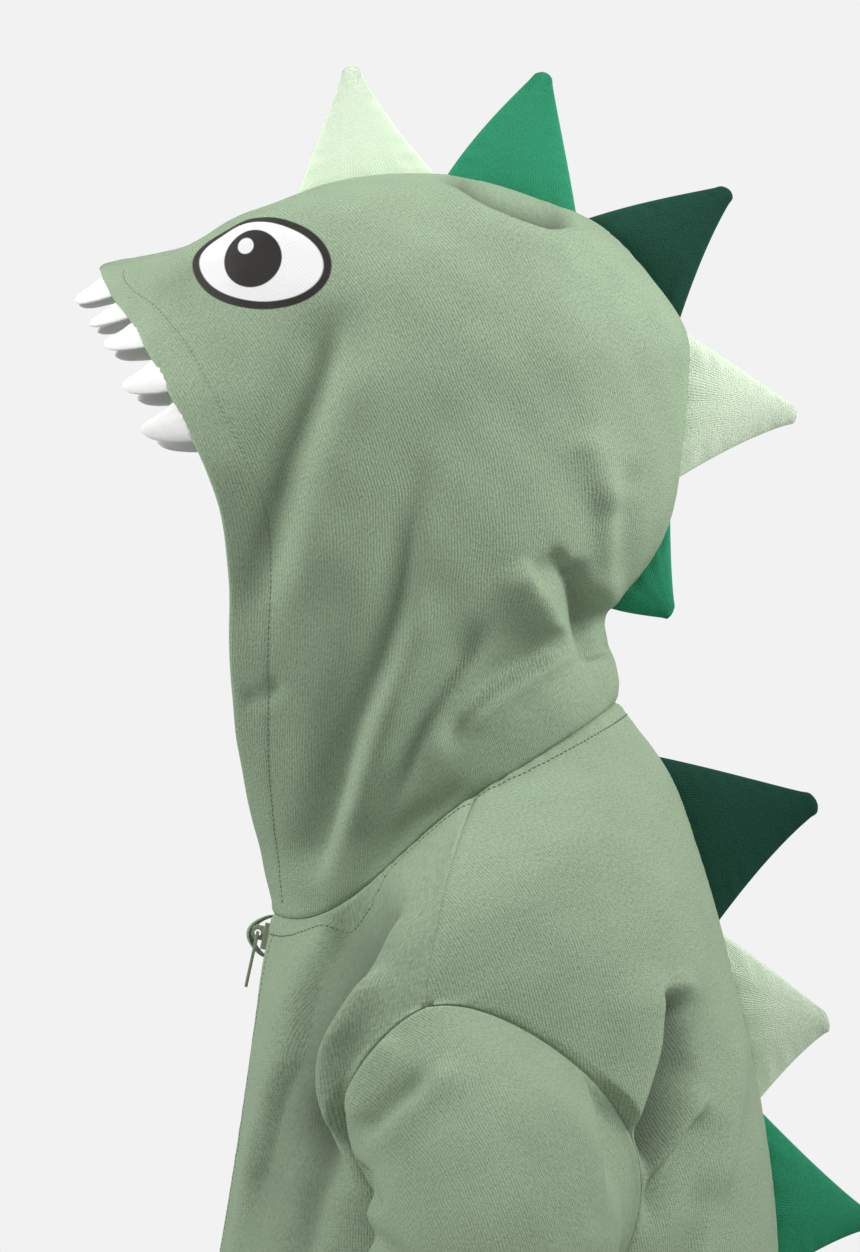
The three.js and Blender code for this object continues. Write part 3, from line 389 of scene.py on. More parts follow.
@dataclass(frozen=True)
class Fold:
    """A fold of the cloth along a path seen from the left, as (y, z). A positive height is a ridge.

    near and far are the half widths on the two sides of the path: near is on its left as it runs. start and
    end are the shares of the path over which the fold rises and fades. shade is painted shade: how much
    darker the cloth's colour is made at the bottom of a deep crease, from 0 to 1.
    """

    path: tuple[Point, ...]
    height: float
    near: float
    far: float
    start: float = 0.2
    end: float = 0.25
    shade: float = 0.0

    def curve(self, steps: int = 8) -> Array:
        """Returns the path as a smooth line through its points."""
        marks = np.array(self.path, float)
        ends = (2 * marks[:1] - marks[1:2], marks, 2 * marks[-1:] - marks[-2:-1])
        padded = np.concatenate(ends)
        t = (np.arange(steps) / steps)[:, None]
        spans = []
        for p0, p1, p2, p3 in zip(padded, padded[1:], padded[2:], padded[3:]):
            bend = 2 * p0 - 5 * p1 + 4 * p2 - p3
            spans.append(p1 + ((p2 - p0) * t + bend * t**2 + (3 * p1 - p0 - 3 * p2 + p3) * t**3) / 2)
        return np.concatenate(spans + [marks[-1:]])

    def profile(self, places: Array) -> Array:
        """Returns the share of the fold's height at places given as (y, z)."""
        line = self.curve()
        start, step = line[:-1], np.diff(line, axis=0)
        length = np.linalg.norm(step, axis=1)
        off = places[:, None, :] - start
        share = np.clip((off * step).sum(-1) / length**2, 0, 1)
        gap = off - share[..., None] * step
        distance = np.linalg.norm(gap, axis=-1)
        nearest = distance.argmin(axis=1)
        pick = np.arange(len(places))
        passed = np.concatenate([[0.0], np.cumsum(length)])
        t = (passed[nearest] + share[pick, nearest] * length[nearest]) / passed[-1]
        turned = step[nearest, 0] * off[pick, nearest, 1] - step[nearest, 1] * off[pick, nearest, 0]
        width = np.where(turned > 0, self.near, self.far)
        fade = smooth(t / self.start) * smooth((1 - t) / self.end)
        return fade * np.exp(-((distance[pick, nearest] / width) ** 2))


HOOD_FOLDS = (
    Fold(
        (
            *((-40, 212), (-53, 198), (-60, 178), (-67, 160), (-74, 142)),
            *((-80, 120), (-82, 106), (-85, 84), (-84, 60)),
        ),
        -9,
        9,
        12,
        end=0.35,
    ),
    Fold(((-28, 196), (-44, 170), (-54, 140), (-62, 108), (-68, 78)), 3, 13, 9),
    Fold(
        (
            *((-10, 163), (-17, 146), (-20, 127), (-24, 97), (-30, 72)),
            *((-38, 50), (-46, 30), (-52, 5), (-59, -17), (-66, -36)),
        ),
        -7,
        5,
        12,
        start=0.42,
        end=0.08,
    ),
    Fold(((-12, 92), (-20, 68), (-28, 46), (-36, 24), (-44, 0), (-51, -19)), 2.5, 8, 5, end=0.15),
    Fold(
        ((10, 79), (2, 63), (-6, 51), (-14, 39), (-19, 28), (-23, 15), (-29, 2), (-36, -12)),
        -5.5,
        4,
        8,
        end=0.5,
    ),
    Fold(((54, 70), (40, 66), (28, 60), (14, 51), (2, 37), (-8, 20)), -6, 5, 8, end=0.2),
    Fold(((46, 63), (38, 58), (17, 45), (-3, 27)), 3.5, 5, 6),
    Fold(((2, 11), (-9, -1), (-21, -8), (-30, -21)), -2, 5, 5),
    Fold(((22, 104), (27, 95), (33, 86), (39, 75), (44, 65), (48, 55)), 6, 5, 11),
    Fold(((28, 95), (34, 98), (40, 102), (45, 106)), -4.5, 5, 6),
    Fold(((46, 104), (48, 96), (51, 86), (56, 71), (59, 60)), -8, 5, 6, end=0.1, shade=0.2),
    Fold(((60, 142), (62, 126), (64, 106), (64, 90), (61, 76)), 3.5, 7, 5),
    Fold(((50, 158), (60, 140), (66, 120)), 3.2, 8, 7),
    Fold(((76, 146), (70, 130), (68, 102), (66, 84)), -3, 6, 6),
    Fold(((-103, 235), (-70, 247), (-40, 256), (-9, 263)), 2.0, 8, 10),
    Fold(((-12, 263), (-1, 256), (11, 248), (25, 243), (38, 240), (52, 242), (62, 240)), 4, 2.5, 9, 0.15),
    Fold(((-8, 265), (3, 257), (12, 252), (25, 248), (38, 246), (50, 249)), -7, 7, 2.5, 0.15, 0.15, 1.0),
    Fold(((-93, 44), (-83, 45), (-74, 52)), -1.6, 4, 4),
)
BODY_FOLDS = (
    Fold(
        (
            *((-41, -31), (-50, -42), (-59, -56), (-69, -74), (-75, -93)),
            *((-81, -117), (-87, -147), (-93, -171), (-98, -215)),
        ),
        -9,
        21,
        2,
        start=0.12,
        end=0.3,
        shade=0.35,
    ),
    Fold(
        (
            *((-22, -36), (-32, -44), (-41, -56), (-51, -74), (-60, -90)),
            *((-65, -104), (-65, -117), (-60, -134), (-51, -149), (-43, -160)),
        ),
        -14,
        3,
        12,
        start=0.12,
        shade=0.5,
    ),
    Fold(((-67, -112), (-66, -136), (-63, -154), (-68, -177), (-73, -205)), -7, 8, 9, shade=0.4),
    Fold(
        ((-29, -61), (-40, -74), (-48, -86), (-55, -99), (-56, -113), (-52, -127), (-45, -139), (-41, -146)),
        7,
        6,
        3.5,
    ),
    Fold(((86, -70), (81, -79), (79, -100), (74, -117), (69, -131), (62, -147)), 5, 2.5, 17),
    Fold(
        ((88, -74), (86, -100), (81, -118), (75, -134), (68, -151), (64, -172)),
        -13,
        12,
        3,
        start=0.12,
        shade=0.9,
    ),
    Fold(((106, -119), (96, -129), (87, -142), (72, -159), (64, -170)), 5, 2.5, 8),
    Fold(((106, -126), (97, -136), (88, -149), (76, -163), (68, -175)), -6, 9, 3),
    Fold(((91, -66), (96, -91), (96, -112)), 2.6, 5, 4),
    Fold(((118, -84), (117, -99), (116, -122), (111, -147), (103, -174), (98, -195), (92, -228)), 3.5, 4, 6),
    Fold(((107, -150), (101, -172), (92, -196), (82, -218), (70, -236)), -4.5, 8, 9),
    Fold(((84, -240), (89, -270), (92, -300), (91, -345), (86, -390)), -5.5, 9, 11),
    Fold(((112, -250), (109, -285), (108, -320), (109, -360), (112, -400)), 4, 9, 11),
    Fold(((-70, -250), (-65, -290), (-62, -330), (-65, -368), (-70, -405)), 4.4, 9, 11),
    Fold(((-92, -300), (-89, -325), (-88, -350), (-90, -380), (-94, -410)), -4.4, 8, 9),
    Fold(((-40, -262), (-36, -300), (-40, -350), (-44, -392)), -4, 9, 9),
    Fold(((34, -250), (30, -300), (34, -350), (30, -400)), -4, 10, 10),
)
SLEEVE_FOLDS = (
    Fold(((-28, -88), (-38, -98), (-43, -110), (-42, -124), (-38, -136)), 5, 10, 4),
    Fold(((-40, -142), (-32, -135), (-22, -124), (-11, -113), (2, -100)), 4, 5, 7),
    Fold(((-41, -134), (-34, -127), (-25, -117), (-12, -106)), -4.5, 5, 4),
    Fold(((-42, -144), (-41, -151), (-38, -158), (-33, -164)), -4, 4, 4),
    Fold(((-50, -170), (-34, -177), (-12, -188)), -5, 6, 6),
    Fold(((42, -92), (52, -109), (57, -124), (60, -142), (60, -164)), -5, 5, 5),
    Fold(((38, -92), (46, -110), (53, -126), (56, -144), (57, -168)), 4.5, 4, 9),
    Fold(((60, -172), (46, -206), (26, -244)), -4.6, 8, 8),
    Fold(((-44, -256), (-12, -272), (24, -268)), -5.5, 7, 8),
    Fold(((-44, -276), (-12, -289), (26, -281)), 3.6, 7, 8),
    Fold(((-44, -296), (-12, -304), (26, -294)), -6, 7, 7),
    Fold(((-42, -336), (-14, -338), (18, -326)), -5.2, 7, 7),
    Fold(((60, -296), (36, -318), (4, -352)), 4.4, 8, 9),
    Fold(((46, -346), (20, -374), (-10, -388)), -4.6, 7, 7),
)


@dataclass(frozen=True)
class Seam:
    """How cloth lies along one edge of a panel.

    puff is how far the cloth swells beside the seam, over width, and pucker how far it ripples. rows are the
    distances of rows of stitching from the edge, which lie in a groove. turned marks a free edge, which is
    folded under by depth and rounded. The reaches say how far from the edge the swelling, the ripples and the
    fading of the folds end.
    """

    puff: float = 0.8
    width: float = 1.2
    pucker: float = 0.16
    rows: tuple[float, ...] = ()
    turned: bool = False
    depth: float = 0.0
    groove: float = 0.35
    groove_width: float = 0.75
    ripple: float = 8.3
    swell_reach: float = 9.0
    pucker_reach: float = 6.0
    fold_reach: float = 7.0

    def lift(self, reach: Array, run: Array) -> Array:
        """Works out the cloth's relief beside the edge.

        Args:
            reach: The distance from the edge.
            run: The distance along the edge.

        Returns:
            The relief, which is nothing on a sewn edge itself.
        """
        wave = np.sin(2 * np.pi * run / self.ripple + 1.9 * np.sin(run / 7.1))
        wave = wave * (0.6 + 0.4 * np.sin(run / 10.7))
        lift = np.zeros_like(reach)
        if not self.turned:
            swell = 1 - np.exp(-((reach / self.width) ** 2))
            puffed = self.puff * np.exp(-reach / self.swell_reach)
            lift += swell * (puffed + self.pucker * wave * np.exp(-reach / self.pucker_reach))
        for row in self.rows:
            beside = (reach - row) / self.groove_width
            lift -= self.groove * np.exp(-(beside**2)) * smooth(reach / 2)
            lift += 0.25 * smooth(reach / 2) * smooth((row + 1 - reach) / 2)
            lift += 0.75 * self.pucker * wave * np.exp(-(((reach - row) / 5) ** 2)) * smooth(reach / 2)
        return lift

    def fade(self, reach: Array) -> Array:
        """Returns the share of the folds' height that is left near a sewn edge."""
        return np.ones_like(reach) if self.turned else smooth(reach / self.fold_reach)


@dataclass
class Relief:
    """The folds of one side's cloth, with the small unevenness of worn cloth.

    The right side's folds are the left's, each moved and weakened by a seeded amount, since cloth never folds
    twice the same. waves holds the length and height of each soft wave of the unevenness.
    """

    folds: tuple[Fold, ...]
    side: Side
    seed: int
    waves: tuple[Point, ...] = ((70, 0.7), (46, 0.6), (46, 0.6), (30, 0.4), (30, 0.4), (19, 0.22), (13, 0.12))
    unevenness: float = 0.55
    moved: float = 6.0
    shares: Point = (0.25, 0.9)

    def read(self, points: Array) -> tuple[Array, Array]:
        """Returns the relief at left-hand points, and the painted shade that the creases give them."""
        places = points[..., 1:].reshape(-1, 2)
        height = self.uneven(points.reshape(-1, 3))
        shade = np.zeros_like(height)
        random = np.random.default_rng(self.seed)
        for fold in self.folds:
            shift, share = random.uniform(-self.moved, self.moved, 2), random.uniform(*self.shares)
            if self.side is Side.LEFT:
                shift, share = np.zeros(2), 1.0
            profile = fold.profile(places - shift) * share
            height += fold.height * profile
            # painted shade: each crease adds its share of darkening for the knit's colour
            shade += fold.shade * profile
        return height.reshape(points.shape[:-1]), np.minimum(shade, 1).reshape(points.shape[:-1])

    def uneven(self, points: Array) -> Array:
        """Returns a seeded sum of soft waves at the points."""
        random = np.random.default_rng(self.seed)
        total = np.zeros(len(points))
        for wavelength, height in self.waves:
            way = unit(random.normal(size=3))
            phase = random.uniform(0, 2 * np.pi)
            total += height * np.sin(points @ way * (2 * np.pi / wavelength) + phase)
        return total * self.unevenness


def stations(
    surface: Surface,
    start: Array,
    end: Array,
    b: Array,
    near: tuple[float, ...],
    far: tuple[float, ...],
    count: int,
    gather: float = 0.0,
) -> Array:
    """Spreads places across each row of a surface, at set distances from both ends and smoothly between.

    Args:
        surface: The surface.
        start: The first parameter of each row.
        end: The last parameter of each row.
        b: The row's own parameter.
        near: The distances from the start.
        far: The distances from the end.
        count: The number of places between them.
        gather: How much closer together they are at the end, or at the start where it is below 0.

    Returns:
        The parameter at each place, one row for each b.
    """
    fine = mix(start[:, None], end[:, None], np.linspace(0, 1, 240))
    passed = run_length(surface.point(fine, np.repeat(b[:, None], 240, axis=1)), 1)
    rows = []
    even = np.linspace(0, 1, count + 2)
    spread = (even + gather * even * (1 - even))[1:-1]
    for line, values in zip(passed, fine):
        total = line[-1]
        scale = min(1.0, total / (2.5 * (near[-1] + far[-1])))
        first, last = np.array(near) * scale, total - np.array(far[::-1]) * scale
        middle = mix(first[-1], last[0], spread)
        rows.append(np.interp(np.concatenate([first, middle, last]), line, values))
    return np.array(rows)


def in_scene(name: str, data: bpy.types.ID) -> bpy.types.Object:
    """Returns a mesh, light or camera as an object in the scene."""
    made = bpy.data.objects.new(name, data)
    bpy.context.scene.collection.objects.link(made)
    return made


def make_object(
    name: str, vertices: Array | list[Array], faces: list[list[int]], finish: bpy.types.Material
) -> bpy.types.Object:
    """Makes a smooth-shaded mesh object.

    Args:
        name: The piece's name.
        vertices: Its points in millimetres.
        faces: Its faces as vertex numbers.
        finish: Its material.

    Returns:
        The object, in metres and in the scene.
    """
    mesh = bpy.data.meshes.new(name)
    mesh.from_pydata((np.asarray(vertices) * MM).tolist(), [], faces, shade_flat=False)
    mesh.update()
    mesh.materials.append(finish)
    return in_scene(name, mesh)


def settle(piece: bpy.types.Object, body: str, slot: str, *nodes: str) -> None:
    """Puts a piece on its body, in place of the CAD nodes that it stands for."""
    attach(piece, body)
    if nodes:
        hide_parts(*nodes)
    LOG.info("%s on %s", piece.name, body)


def write_places(piece: bpy.types.Object, name: str, places: Array) -> None:
    """Keeps a vector at every point of a piece, in millimetres, for its material to read."""
    layer = piece.data.attributes.new(name, "FLOAT_VECTOR", "POINT")
    layer.data.foreach_set("vector", np.ascontiguousarray(places, np.float32).ravel())


def signed_volume(vertices: Array, quads: Array) -> float:
    """Returns the volume inside a closed mesh of quads, below 0 where its faces point inwards."""
    a, b, c, d = (vertices[quads[:, k]] for k in range(4))
    return float((a * (np.cross(b, c) + np.cross(c, d))).sum() / 6)


def shell_quads(rows: int, columns: int, closed: bool) -> Array:
    """Joins an outer and an inner grid into one closed shell.

    Args:
        rows: The rows of each grid.
        columns: The columns of each grid.
        closed: Whether the last column joins the first.

    Returns:
        The faces, with the outer grid's points numbered first.
    """
    outer = np.arange(rows * columns).reshape(rows, columns)
    if closed:
        outer = np.concatenate([outer, outer[:, :1]], axis=1)
    inner = outer + rows * columns

    def sheet(grid: Array) -> Array:
        """Returns the grid's own faces."""
        return np.stack([grid[:-1, :-1], grid[:-1, 1:], grid[1:, 1:], grid[1:, :-1]], -1).reshape(-1, 4)

    def wall(one: Array, other: Array) -> Array:
        """Returns the faces between two lines of points."""
        return np.stack([one[:-1], other[:-1], other[1:], one[1:]], -1)

    parts = [sheet(outer), sheet(inner)[:, ::-1]]
    parts += [wall(outer[0], inner[0]), wall(outer[-1], inner[-1])[:, ::-1]]
    if not closed:
        parts += [wall(outer[:, 0], inner[:, 0])[:, ::-1], wall(outer[:, -1], inner[:, -1])]
    return np.concatenate(parts)


@dataclass
class Panel:
    """One piece of cloth on a grid of places of a surface.

    a and b are the surface's parameters, with rows along b. cut is the flat width, length and area in metres,
    which is not used, keep is the share of the folds that is left at each point, extra is relief of the
    panel's own with the grain's third number, and straight is the edge that the wales run along.
    """

    name: str
    surface: Surface
    a: Array
    b: Array
    side: Side
    seams: dict[Edge, Seam]
    cut: tuple[float, float, float]
    relief: Relief | None = None
    extra: Callable[[Array, Array], tuple[Array, Array]] | None = None
    keep: Callable[[Array], Array] | None = None
    closed: bool = False
    straight: Edge | None = None
    outer_depth: float = 0.0
    thickness: float = 2.2
    base: Array = field(init=False)
    outward: Array = field(init=False)
    outer: Array = field(init=False)
    inner: Array = field(init=False)
    across: Array = field(init=False)
    along: Array = field(init=False)
    reach: dict[Edge, Array] = field(init=False)
    painted_shade_mask: Array = field(init=False)

    def __post_init__(self) -> None:
        """Works out the panel's outer and inner face."""
        self.base = self.surface.point(self.a, self.b)
        self.outward = self.surface.normal(self.a, self.b)
        self.across = run_length(self.base, 1)
        self.along = run_length(self.base, 0)
        self.reach = {
            Edge.FRONT: self.across,
            Edge.REAR: self.across[:, -1:] - self.across,
            Edge.LOWER: self.along,
            Edge.UPPER: self.along[-1:] - self.along,
        }
        height = self.height()
        half, under = self.rims()
        middle = height - self.outer_depth - self.thickness / 2
        outer = self.base + self.outward * (middle + half)[..., None]
        inner = self.base + self.outward * (middle - half - under)[..., None]
        mirror = np.array([self.side.value, 1, 1])
        self.outer, self.inner = outer * mirror, inner * mirror
        self.outward = self.outward * mirror

    def height(self) -> Array:
        """Returns the relief of the panel's outer face."""
        fade = np.ones_like(self.across)
        height = np.zeros_like(self.across)
        self.painted_shade_mask = np.zeros_like(self.across)
        for edge, seam in self.seams.items():
            run = self.run_beside(edge)
            fade = fade * seam.fade(self.reach[edge])
            sewn = [other for other in self.seams if other is not edge and not self.seams[other].turned]
            corner = np.prod([smooth(self.reach[other] / 5) for other in sewn], axis=0) if sewn else 1.0
            height = height + seam.lift(self.reach[edge], run) * corner
        if self.relief:
            kept = self.keep(self.base) if self.keep else 1.0
            folds, shade = self.relief.read(self.base)
            # painted shade: the creases' shade, faded like the folds, is kept for the knit to darken its
            # colour
            self.painted_shade_mask = shade * fade * kept
            height = height + folds * fade * kept
        if self.extra:
            # for rib bands the third number marks each rib's ridge, which sets the rib knit's painted shade
            lift, self.painted_shade_mask = self.extra(self.across, self.along)
            height = height + lift
        return height

    def run_beside(self, edge: Edge) -> Array:
        """Returns every point's distance along an edge."""
        lines = {
            Edge.FRONT: self.along[:, :1],
            Edge.REAR: self.along[:, -1:],
            Edge.LOWER: self.across[:1],
            Edge.UPPER: self.across[-1:],
        }
        return np.broadcast_to(lines[edge], self.across.shape)

    def grain(self) -> Array:
        """Returns every point's place across the wales and along them, and its crease's painted shade or its
        rib.
        """
        u, v = self.across, self.along
        if self.straight is Edge.FRONT:
            v = self.run_beside(Edge.FRONT)
        if self.straight is Edge.REAR:
            u, v = self.reach[Edge.REAR], self.run_beside(Edge.REAR)
        return np.stack([u, v, self.painted_shade_mask], -1).reshape(-1, 3)

    def rims(self) -> tuple[Array, Array]:
        """Returns half the cloth's thickness, rounded at turned edges, and the folded part's thickness."""
        half = np.full_like(self.across, self.thickness / 2)
        under = np.zeros_like(self.across)
        for edge, seam in self.seams.items():
            if seam.turned:
                off = 1 - np.clip(self.reach[edge] / (0.9 * self.thickness), 0, 1)
                half = np.minimum(half, self.thickness / 2 * np.sqrt(np.maximum(1 - off**2, 0.03)))
                folded = smooth(self.reach[edge] / 3) * (1 - smooth((self.reach[edge] - seam.depth) / 2))
                under = np.maximum(under, 0.7 * self.thickness * folded if seam.depth else 0)
        return half, under

    def build(self, finish: bpy.types.Material, slot: str, node: str) -> bpy.types.Object:
        """Makes the panel's mesh, which stands for its CAD node and rides with the garment.

        Args:
            finish: The cloth's material.
            slot: The record's material slot; not used.
            node: The CAD node that the panel stands for.

        Returns:
            The panel's object.
        """
        rows, columns = self.across.shape
        vertices = np.concatenate([self.outer.reshape(-1, 3), self.inner.reshape(-1, 3)])
        quads = shell_quads(rows, columns, self.closed)
        if signed_volume(vertices, quads) < 0:
            quads = quads[:, ::-1]
        piece = make_object(self.name, vertices, quads.tolist(), finish)
        write_places(piece, "grain", np.tile(self.grain(), (2, 1)))
        settle(piece, "garment", slot, node)
        return piece

    def line(self, edge: Edge, distance: float) -> tuple[Array, Array]:
        """Finds a line on the outer face at a distance from an edge.

        Args:
            edge: The edge that the line follows.
            distance: Its distance from the edge.

        Returns:
            The line's points and the cloth's outward direction there.
        """
        down = edge in (Edge.FRONT, Edge.REAR)
        grids = [self.reach[edge], self.outer, self.outward]
        reach, outer, outward = grids if down else [np.swapaxes(grid, 0, 1) for grid in grids]
        if edge in (Edge.REAR, Edge.UPPER):
            reach, outer, outward = reach[:, ::-1], outer[:, ::-1], outward[:, ::-1]
        points, ways = [], []
        for row_reach, row_outer, row_outward in zip(reach, outer, outward):
            if row_reach[-1] > 2 * distance:
                points.append([np.interp(distance, row_reach, row_outer[:, k]) for k in range(3)])
                ways.append([np.interp(distance, row_reach, row_outward[:, k]) for k in range(3)])
        return np.array(points), unit(np.array(ways))


class Signal:
    """A shader socket that stands for a number. Arithmetic on it adds Math nodes."""

    def __init__(self, nodes: Nodes, socket: bpy.types.NodeSocket) -> None:
        """Wraps a node's output socket."""
        self.nodes = nodes
        self.socket = socket

    def maths(self, operation: str, *operands: Signal | float) -> Signal:
        """Returns the result of a Math node on the operands."""
        return self.nodes.node("ShaderNodeMath", {"operation": operation}, dict(enumerate(operands)))

    def __add__(self, other: Signal | float) -> Signal:
        """Returns the sum."""
        return self.maths("ADD", self, other)

    def __radd__(self, other: float) -> Signal:
        """Returns the sum."""
        return self.maths("ADD", other, self)

    def __sub__(self, other: Signal | float) -> Signal:
        """Returns the difference."""
        return self.maths("SUBTRACT", self, other)

    def __rsub__(self, other: float) -> Signal:
        """Returns the difference from a number."""
        return self.maths("SUBTRACT", other, self)

    def __mul__(self, other: Signal | float) -> Signal:
        """Returns the product."""
        return self.maths("MULTIPLY", self, other)

    def __rmul__(self, other: float) -> Signal:
        """Returns the product."""
        return self.maths("MULTIPLY", other, self)

    def __truediv__(self, other: Signal | float) -> Signal:
        """Returns the quotient."""
        return self.maths("DIVIDE", self, other)

    def __pow__(self, other: Signal | float) -> Signal:
        """Returns the power."""
        return self.maths("POWER", self, other)

    def absolute(self) -> Signal:
        """Returns the number without its sign."""
        return self.maths("ABSOLUTE", self)

    def fraction(self) -> Signal:
        """Returns what is left after whole numbers are taken off."""
        return self.maths("FRACT", self)

    def wave(self, length: float) -> Signal:
        """Returns a wave from 0 to 1 with the given length."""
        return self.maths("COSINE", self * (2 * math.pi / length)) * 0.5 + 0.5

    def held(self) -> Signal:
        """Returns the number kept between 0 and 1."""
        return self.nodes.node("ShaderNodeClamp", {}, {0: self})


class Nodes:
    """A tree that nodes are added to."""

    def __init__(self, owner: bpy.types.Material | bpy.types.World) -> None:
        """Starts with the nodes that Blender gives a new material or world."""
        owner.use_nodes = True
        self.tree = owner.node_tree

    def node(self, kind: str, settings: dict, inputs: dict, output: int | str = 0) -> Signal:
        """Adds any node.

        Args:
            kind: The node's type.
            settings: Its own settings, set first.
            inputs: The value or link of each socket, by its name or number.
            output: The output socket to return.

        Returns:
            The output socket.
        """
        made = self.tree.nodes.new(kind)
        for name, value in settings.items():
            setattr(made, name, value)
        self.feed(made, inputs)
        return Signal(self, made.outputs[output])

    def feed(self, node: bpy.types.Node, inputs: dict) -> None:
        """Sets or links a node's sockets, given by name or number."""
        for name, value in inputs.items():
            if isinstance(value, Signal):
                self.tree.links.new(value.socket, node.inputs[name])
            else:
                node.inputs[name].default_value = value

    def parts(self, vector: Signal) -> tuple[Signal, Signal, Signal]:
        """Returns a vector's three numbers."""
        first = self.node("ShaderNodeSeparateXYZ", {}, {0: vector})
        outputs = first.socket.node.outputs
        return first, Signal(self, outputs[1]), Signal(self, outputs[2])


class Shader(Nodes):
    """A material and the nodes that are added to it."""

    def __init__(self, name: str) -> None:
        """Starts a material with a principled shader."""
        self.material = bpy.data.materials.new(name)
        super().__init__(self.material)

    def places(self, name: str = "grain") -> Signal:
        """Returns the vector, in millimetres, that is kept at each point of the mesh."""
        return self.node("ShaderNodeAttribute", {"attribute_name": name}, {}, "Vector")

    def squeezed(self, vector: Signal, shares: tuple[float, float, float]) -> Signal:
        """Returns a vector with each number multiplied by its share."""
        return self.node("ShaderNodeVectorMath", {"operation": "MULTIPLY"}, {0: vector, 1: shares})

    def noise(self, vector: Signal, scale: float, detail: float = 2.0, rough: float = 0.5) -> Signal:
        """Returns noise around 0.5."""
        values = {"Vector": vector, "Scale": scale, "Detail": detail, "Roughness": rough}
        return self.node("ShaderNodeTexNoise", {}, values)

    def colours(self, share: Signal | float, first: Signal | Colour, second: Signal | Colour) -> Signal:
        """Returns a colour between two colours."""
        ends = [colour if isinstance(colour, Signal) else (*colour, 1.0) for colour in (first, second)]
        return self.node("ShaderNodeMix", {"data_type": "RGBA"}, {0: share, 6: ends[0], 7: ends[1]}, 2)

    def bump(self, height: Signal, depth: float, strength: float = 1.0) -> Signal:
        """Returns a normal from a height of 0 to 1 that stands for a depth in millimetres."""
        values = {"Height": height, "Distance": depth * MM, "Strength": strength}
        return self.node("ShaderNodeBump", {}, values)

    def dress(self, inputs: dict[str, Signal | float | tuple]) -> bpy.types.Material:
        """Sets the principled shader's sockets and returns the material."""
        self.feed(self.tree.nodes["Principled BSDF"], inputs)
        return self.material


def tinted(colour: Colour, share: float) -> Colour:
    """Returns a colour made lighter or darker."""
    return tuple(channel * share for channel in colour)


@dataclass(frozen=True)
class PrintedEye:
    """A plain round eye printed on the hood: a black ring, a white ball and a dark pupil with a small glint.

    The half axes, radii and centres are millimetres on the cloth, with +y to the wearer's back.
    """

    ring: Point = (31.0, 21.0)
    ball: Point = (27.5, 17.5)
    pupil: float = 12.5
    pupil_at: Point = (-3.0, 0.5)
    glint: float = 3.4
    glint_at: Point = (-7.0, 5.5)
    black: Colour = (0.028, 0.025, 0.025)
    white: Colour = (0.8, 0.8, 0.8)

    def disc(self, y: Signal, z: Signal, centre: Point, half: Point) -> Signal:
        """Returns 1 inside an oval and 0 outside it, with an edge as soft as ink on knit."""
        off_y, off_z = (y - centre[0]) / half[0], (z - centre[1]) / half[1]
        radius = (off_y * off_y + off_z * off_z) ** 0.5
        return ((1 - radius) * (min(half) / 0.5) + 0.5).held()

    def ink(self, shader: Shader, cloth: Signal) -> tuple[Signal, Signal]:
        """Prints the eye over a cloth's colour.

        Args:
            shader: The cloth's shader.
            cloth: The cloth's colour.

        Returns:
            The colour with the print, and where the ink is.
        """
        y, z, _ = shader.parts(shader.places("eye"))
        inked = self.disc(y, z, (0, 0), self.ring)
        ball = self.disc(y, z, (0, 0), self.ball)
        pupil = self.disc(y, z, self.pupil_at, (self.pupil, self.pupil))
        glint = self.disc(y, z, self.glint_at, (self.glint, self.glint))
        colour = shader.colours(inked, cloth, self.black)
        colour = shader.colours(ball, colour, self.white)
        colour = shader.colours(pupil, colour, self.black)
        return shader.colours(glint, colour, self.white), inked


@dataclass(frozen=True)
class SweatshirtKnit:
    """Brushed sweatshirt knit: fine wales of slanting loops, flecked yarn and a short nap, and painted shade
    that darkens its creases.
    """

    name: str
    colour: Colour
    wale: float = 1.3
    course: float = 1.15
    fleck: float = 0.36
    sheen: float = 0.1
    # how strongly the creases' painted shade darkens the colour, 0 for none
    painted_shade_weight: float = 0.0
    eye: PrintedEye | None = None

    def build(self) -> bpy.types.Material:
        """Returns the knit's material."""
        shader = Shader(self.name)
        grain = shader.places()
        u, v, painted_shade_mask = shader.parts(grain)
        drift = shader.noise(grain, 0.05, 1.0) * 4
        across = ((u + drift) / self.wale).fraction()
        slant = (across - 0.5).absolute() * 1.1
        wales = (u + drift).wave(self.wale)
        loops = ((v + drift) / self.course + slant).wave(1.0)
        nap = shader.noise(grain, 0.8, 3.0, 0.65)
        blotch = shader.noise(grain, 0.055, 2.0, 0.5)
        yarn = shader.noise(shader.squeezed(grain, (1.0, 0.42, 1.0)), 1.5, 2.0, 0.6)
        knit = wales * 0.22 + loops * 0.12 + nap * 0.95 + yarn * 0.7 - 0.495
        tone = ((knit - 0.5) * 1.25 + (blotch - 0.5) * 0.2 + 0.5).held()
        dark, light = tinted(self.colour, 1 - self.fleck), tinted(self.colour, 1 + self.fleck)
        colour = shader.colours(tone, dark, light)
        # painted shade: the colour is darkened towards 0.3 of the cloth's at the bottom of deep creases
        colour = shader.colours(painted_shade_mask * self.painted_shade_weight, colour, tinted(self.colour, 0.3))
        height, rough = knit, 0.86 + nap * 0.12
        if self.eye:
            colour, inked = self.eye.ink(shader, colour)
            height = knit * (1 - inked * 0.5)
            rough = rough - inked * 0.36
        return shader.dress(
            {
                "Base Color": colour,
                "Roughness": rough,
                "Normal": shader.bump(height, 0.5, 0.75),
                "Specular IOR Level": 0.15,
                "Sheen Weight": self.sheen,
                "Sheen Roughness": 0.55,
                "Sheen Tint": (*tinted(self.colour, 1.8), 1.0),
            }
        )


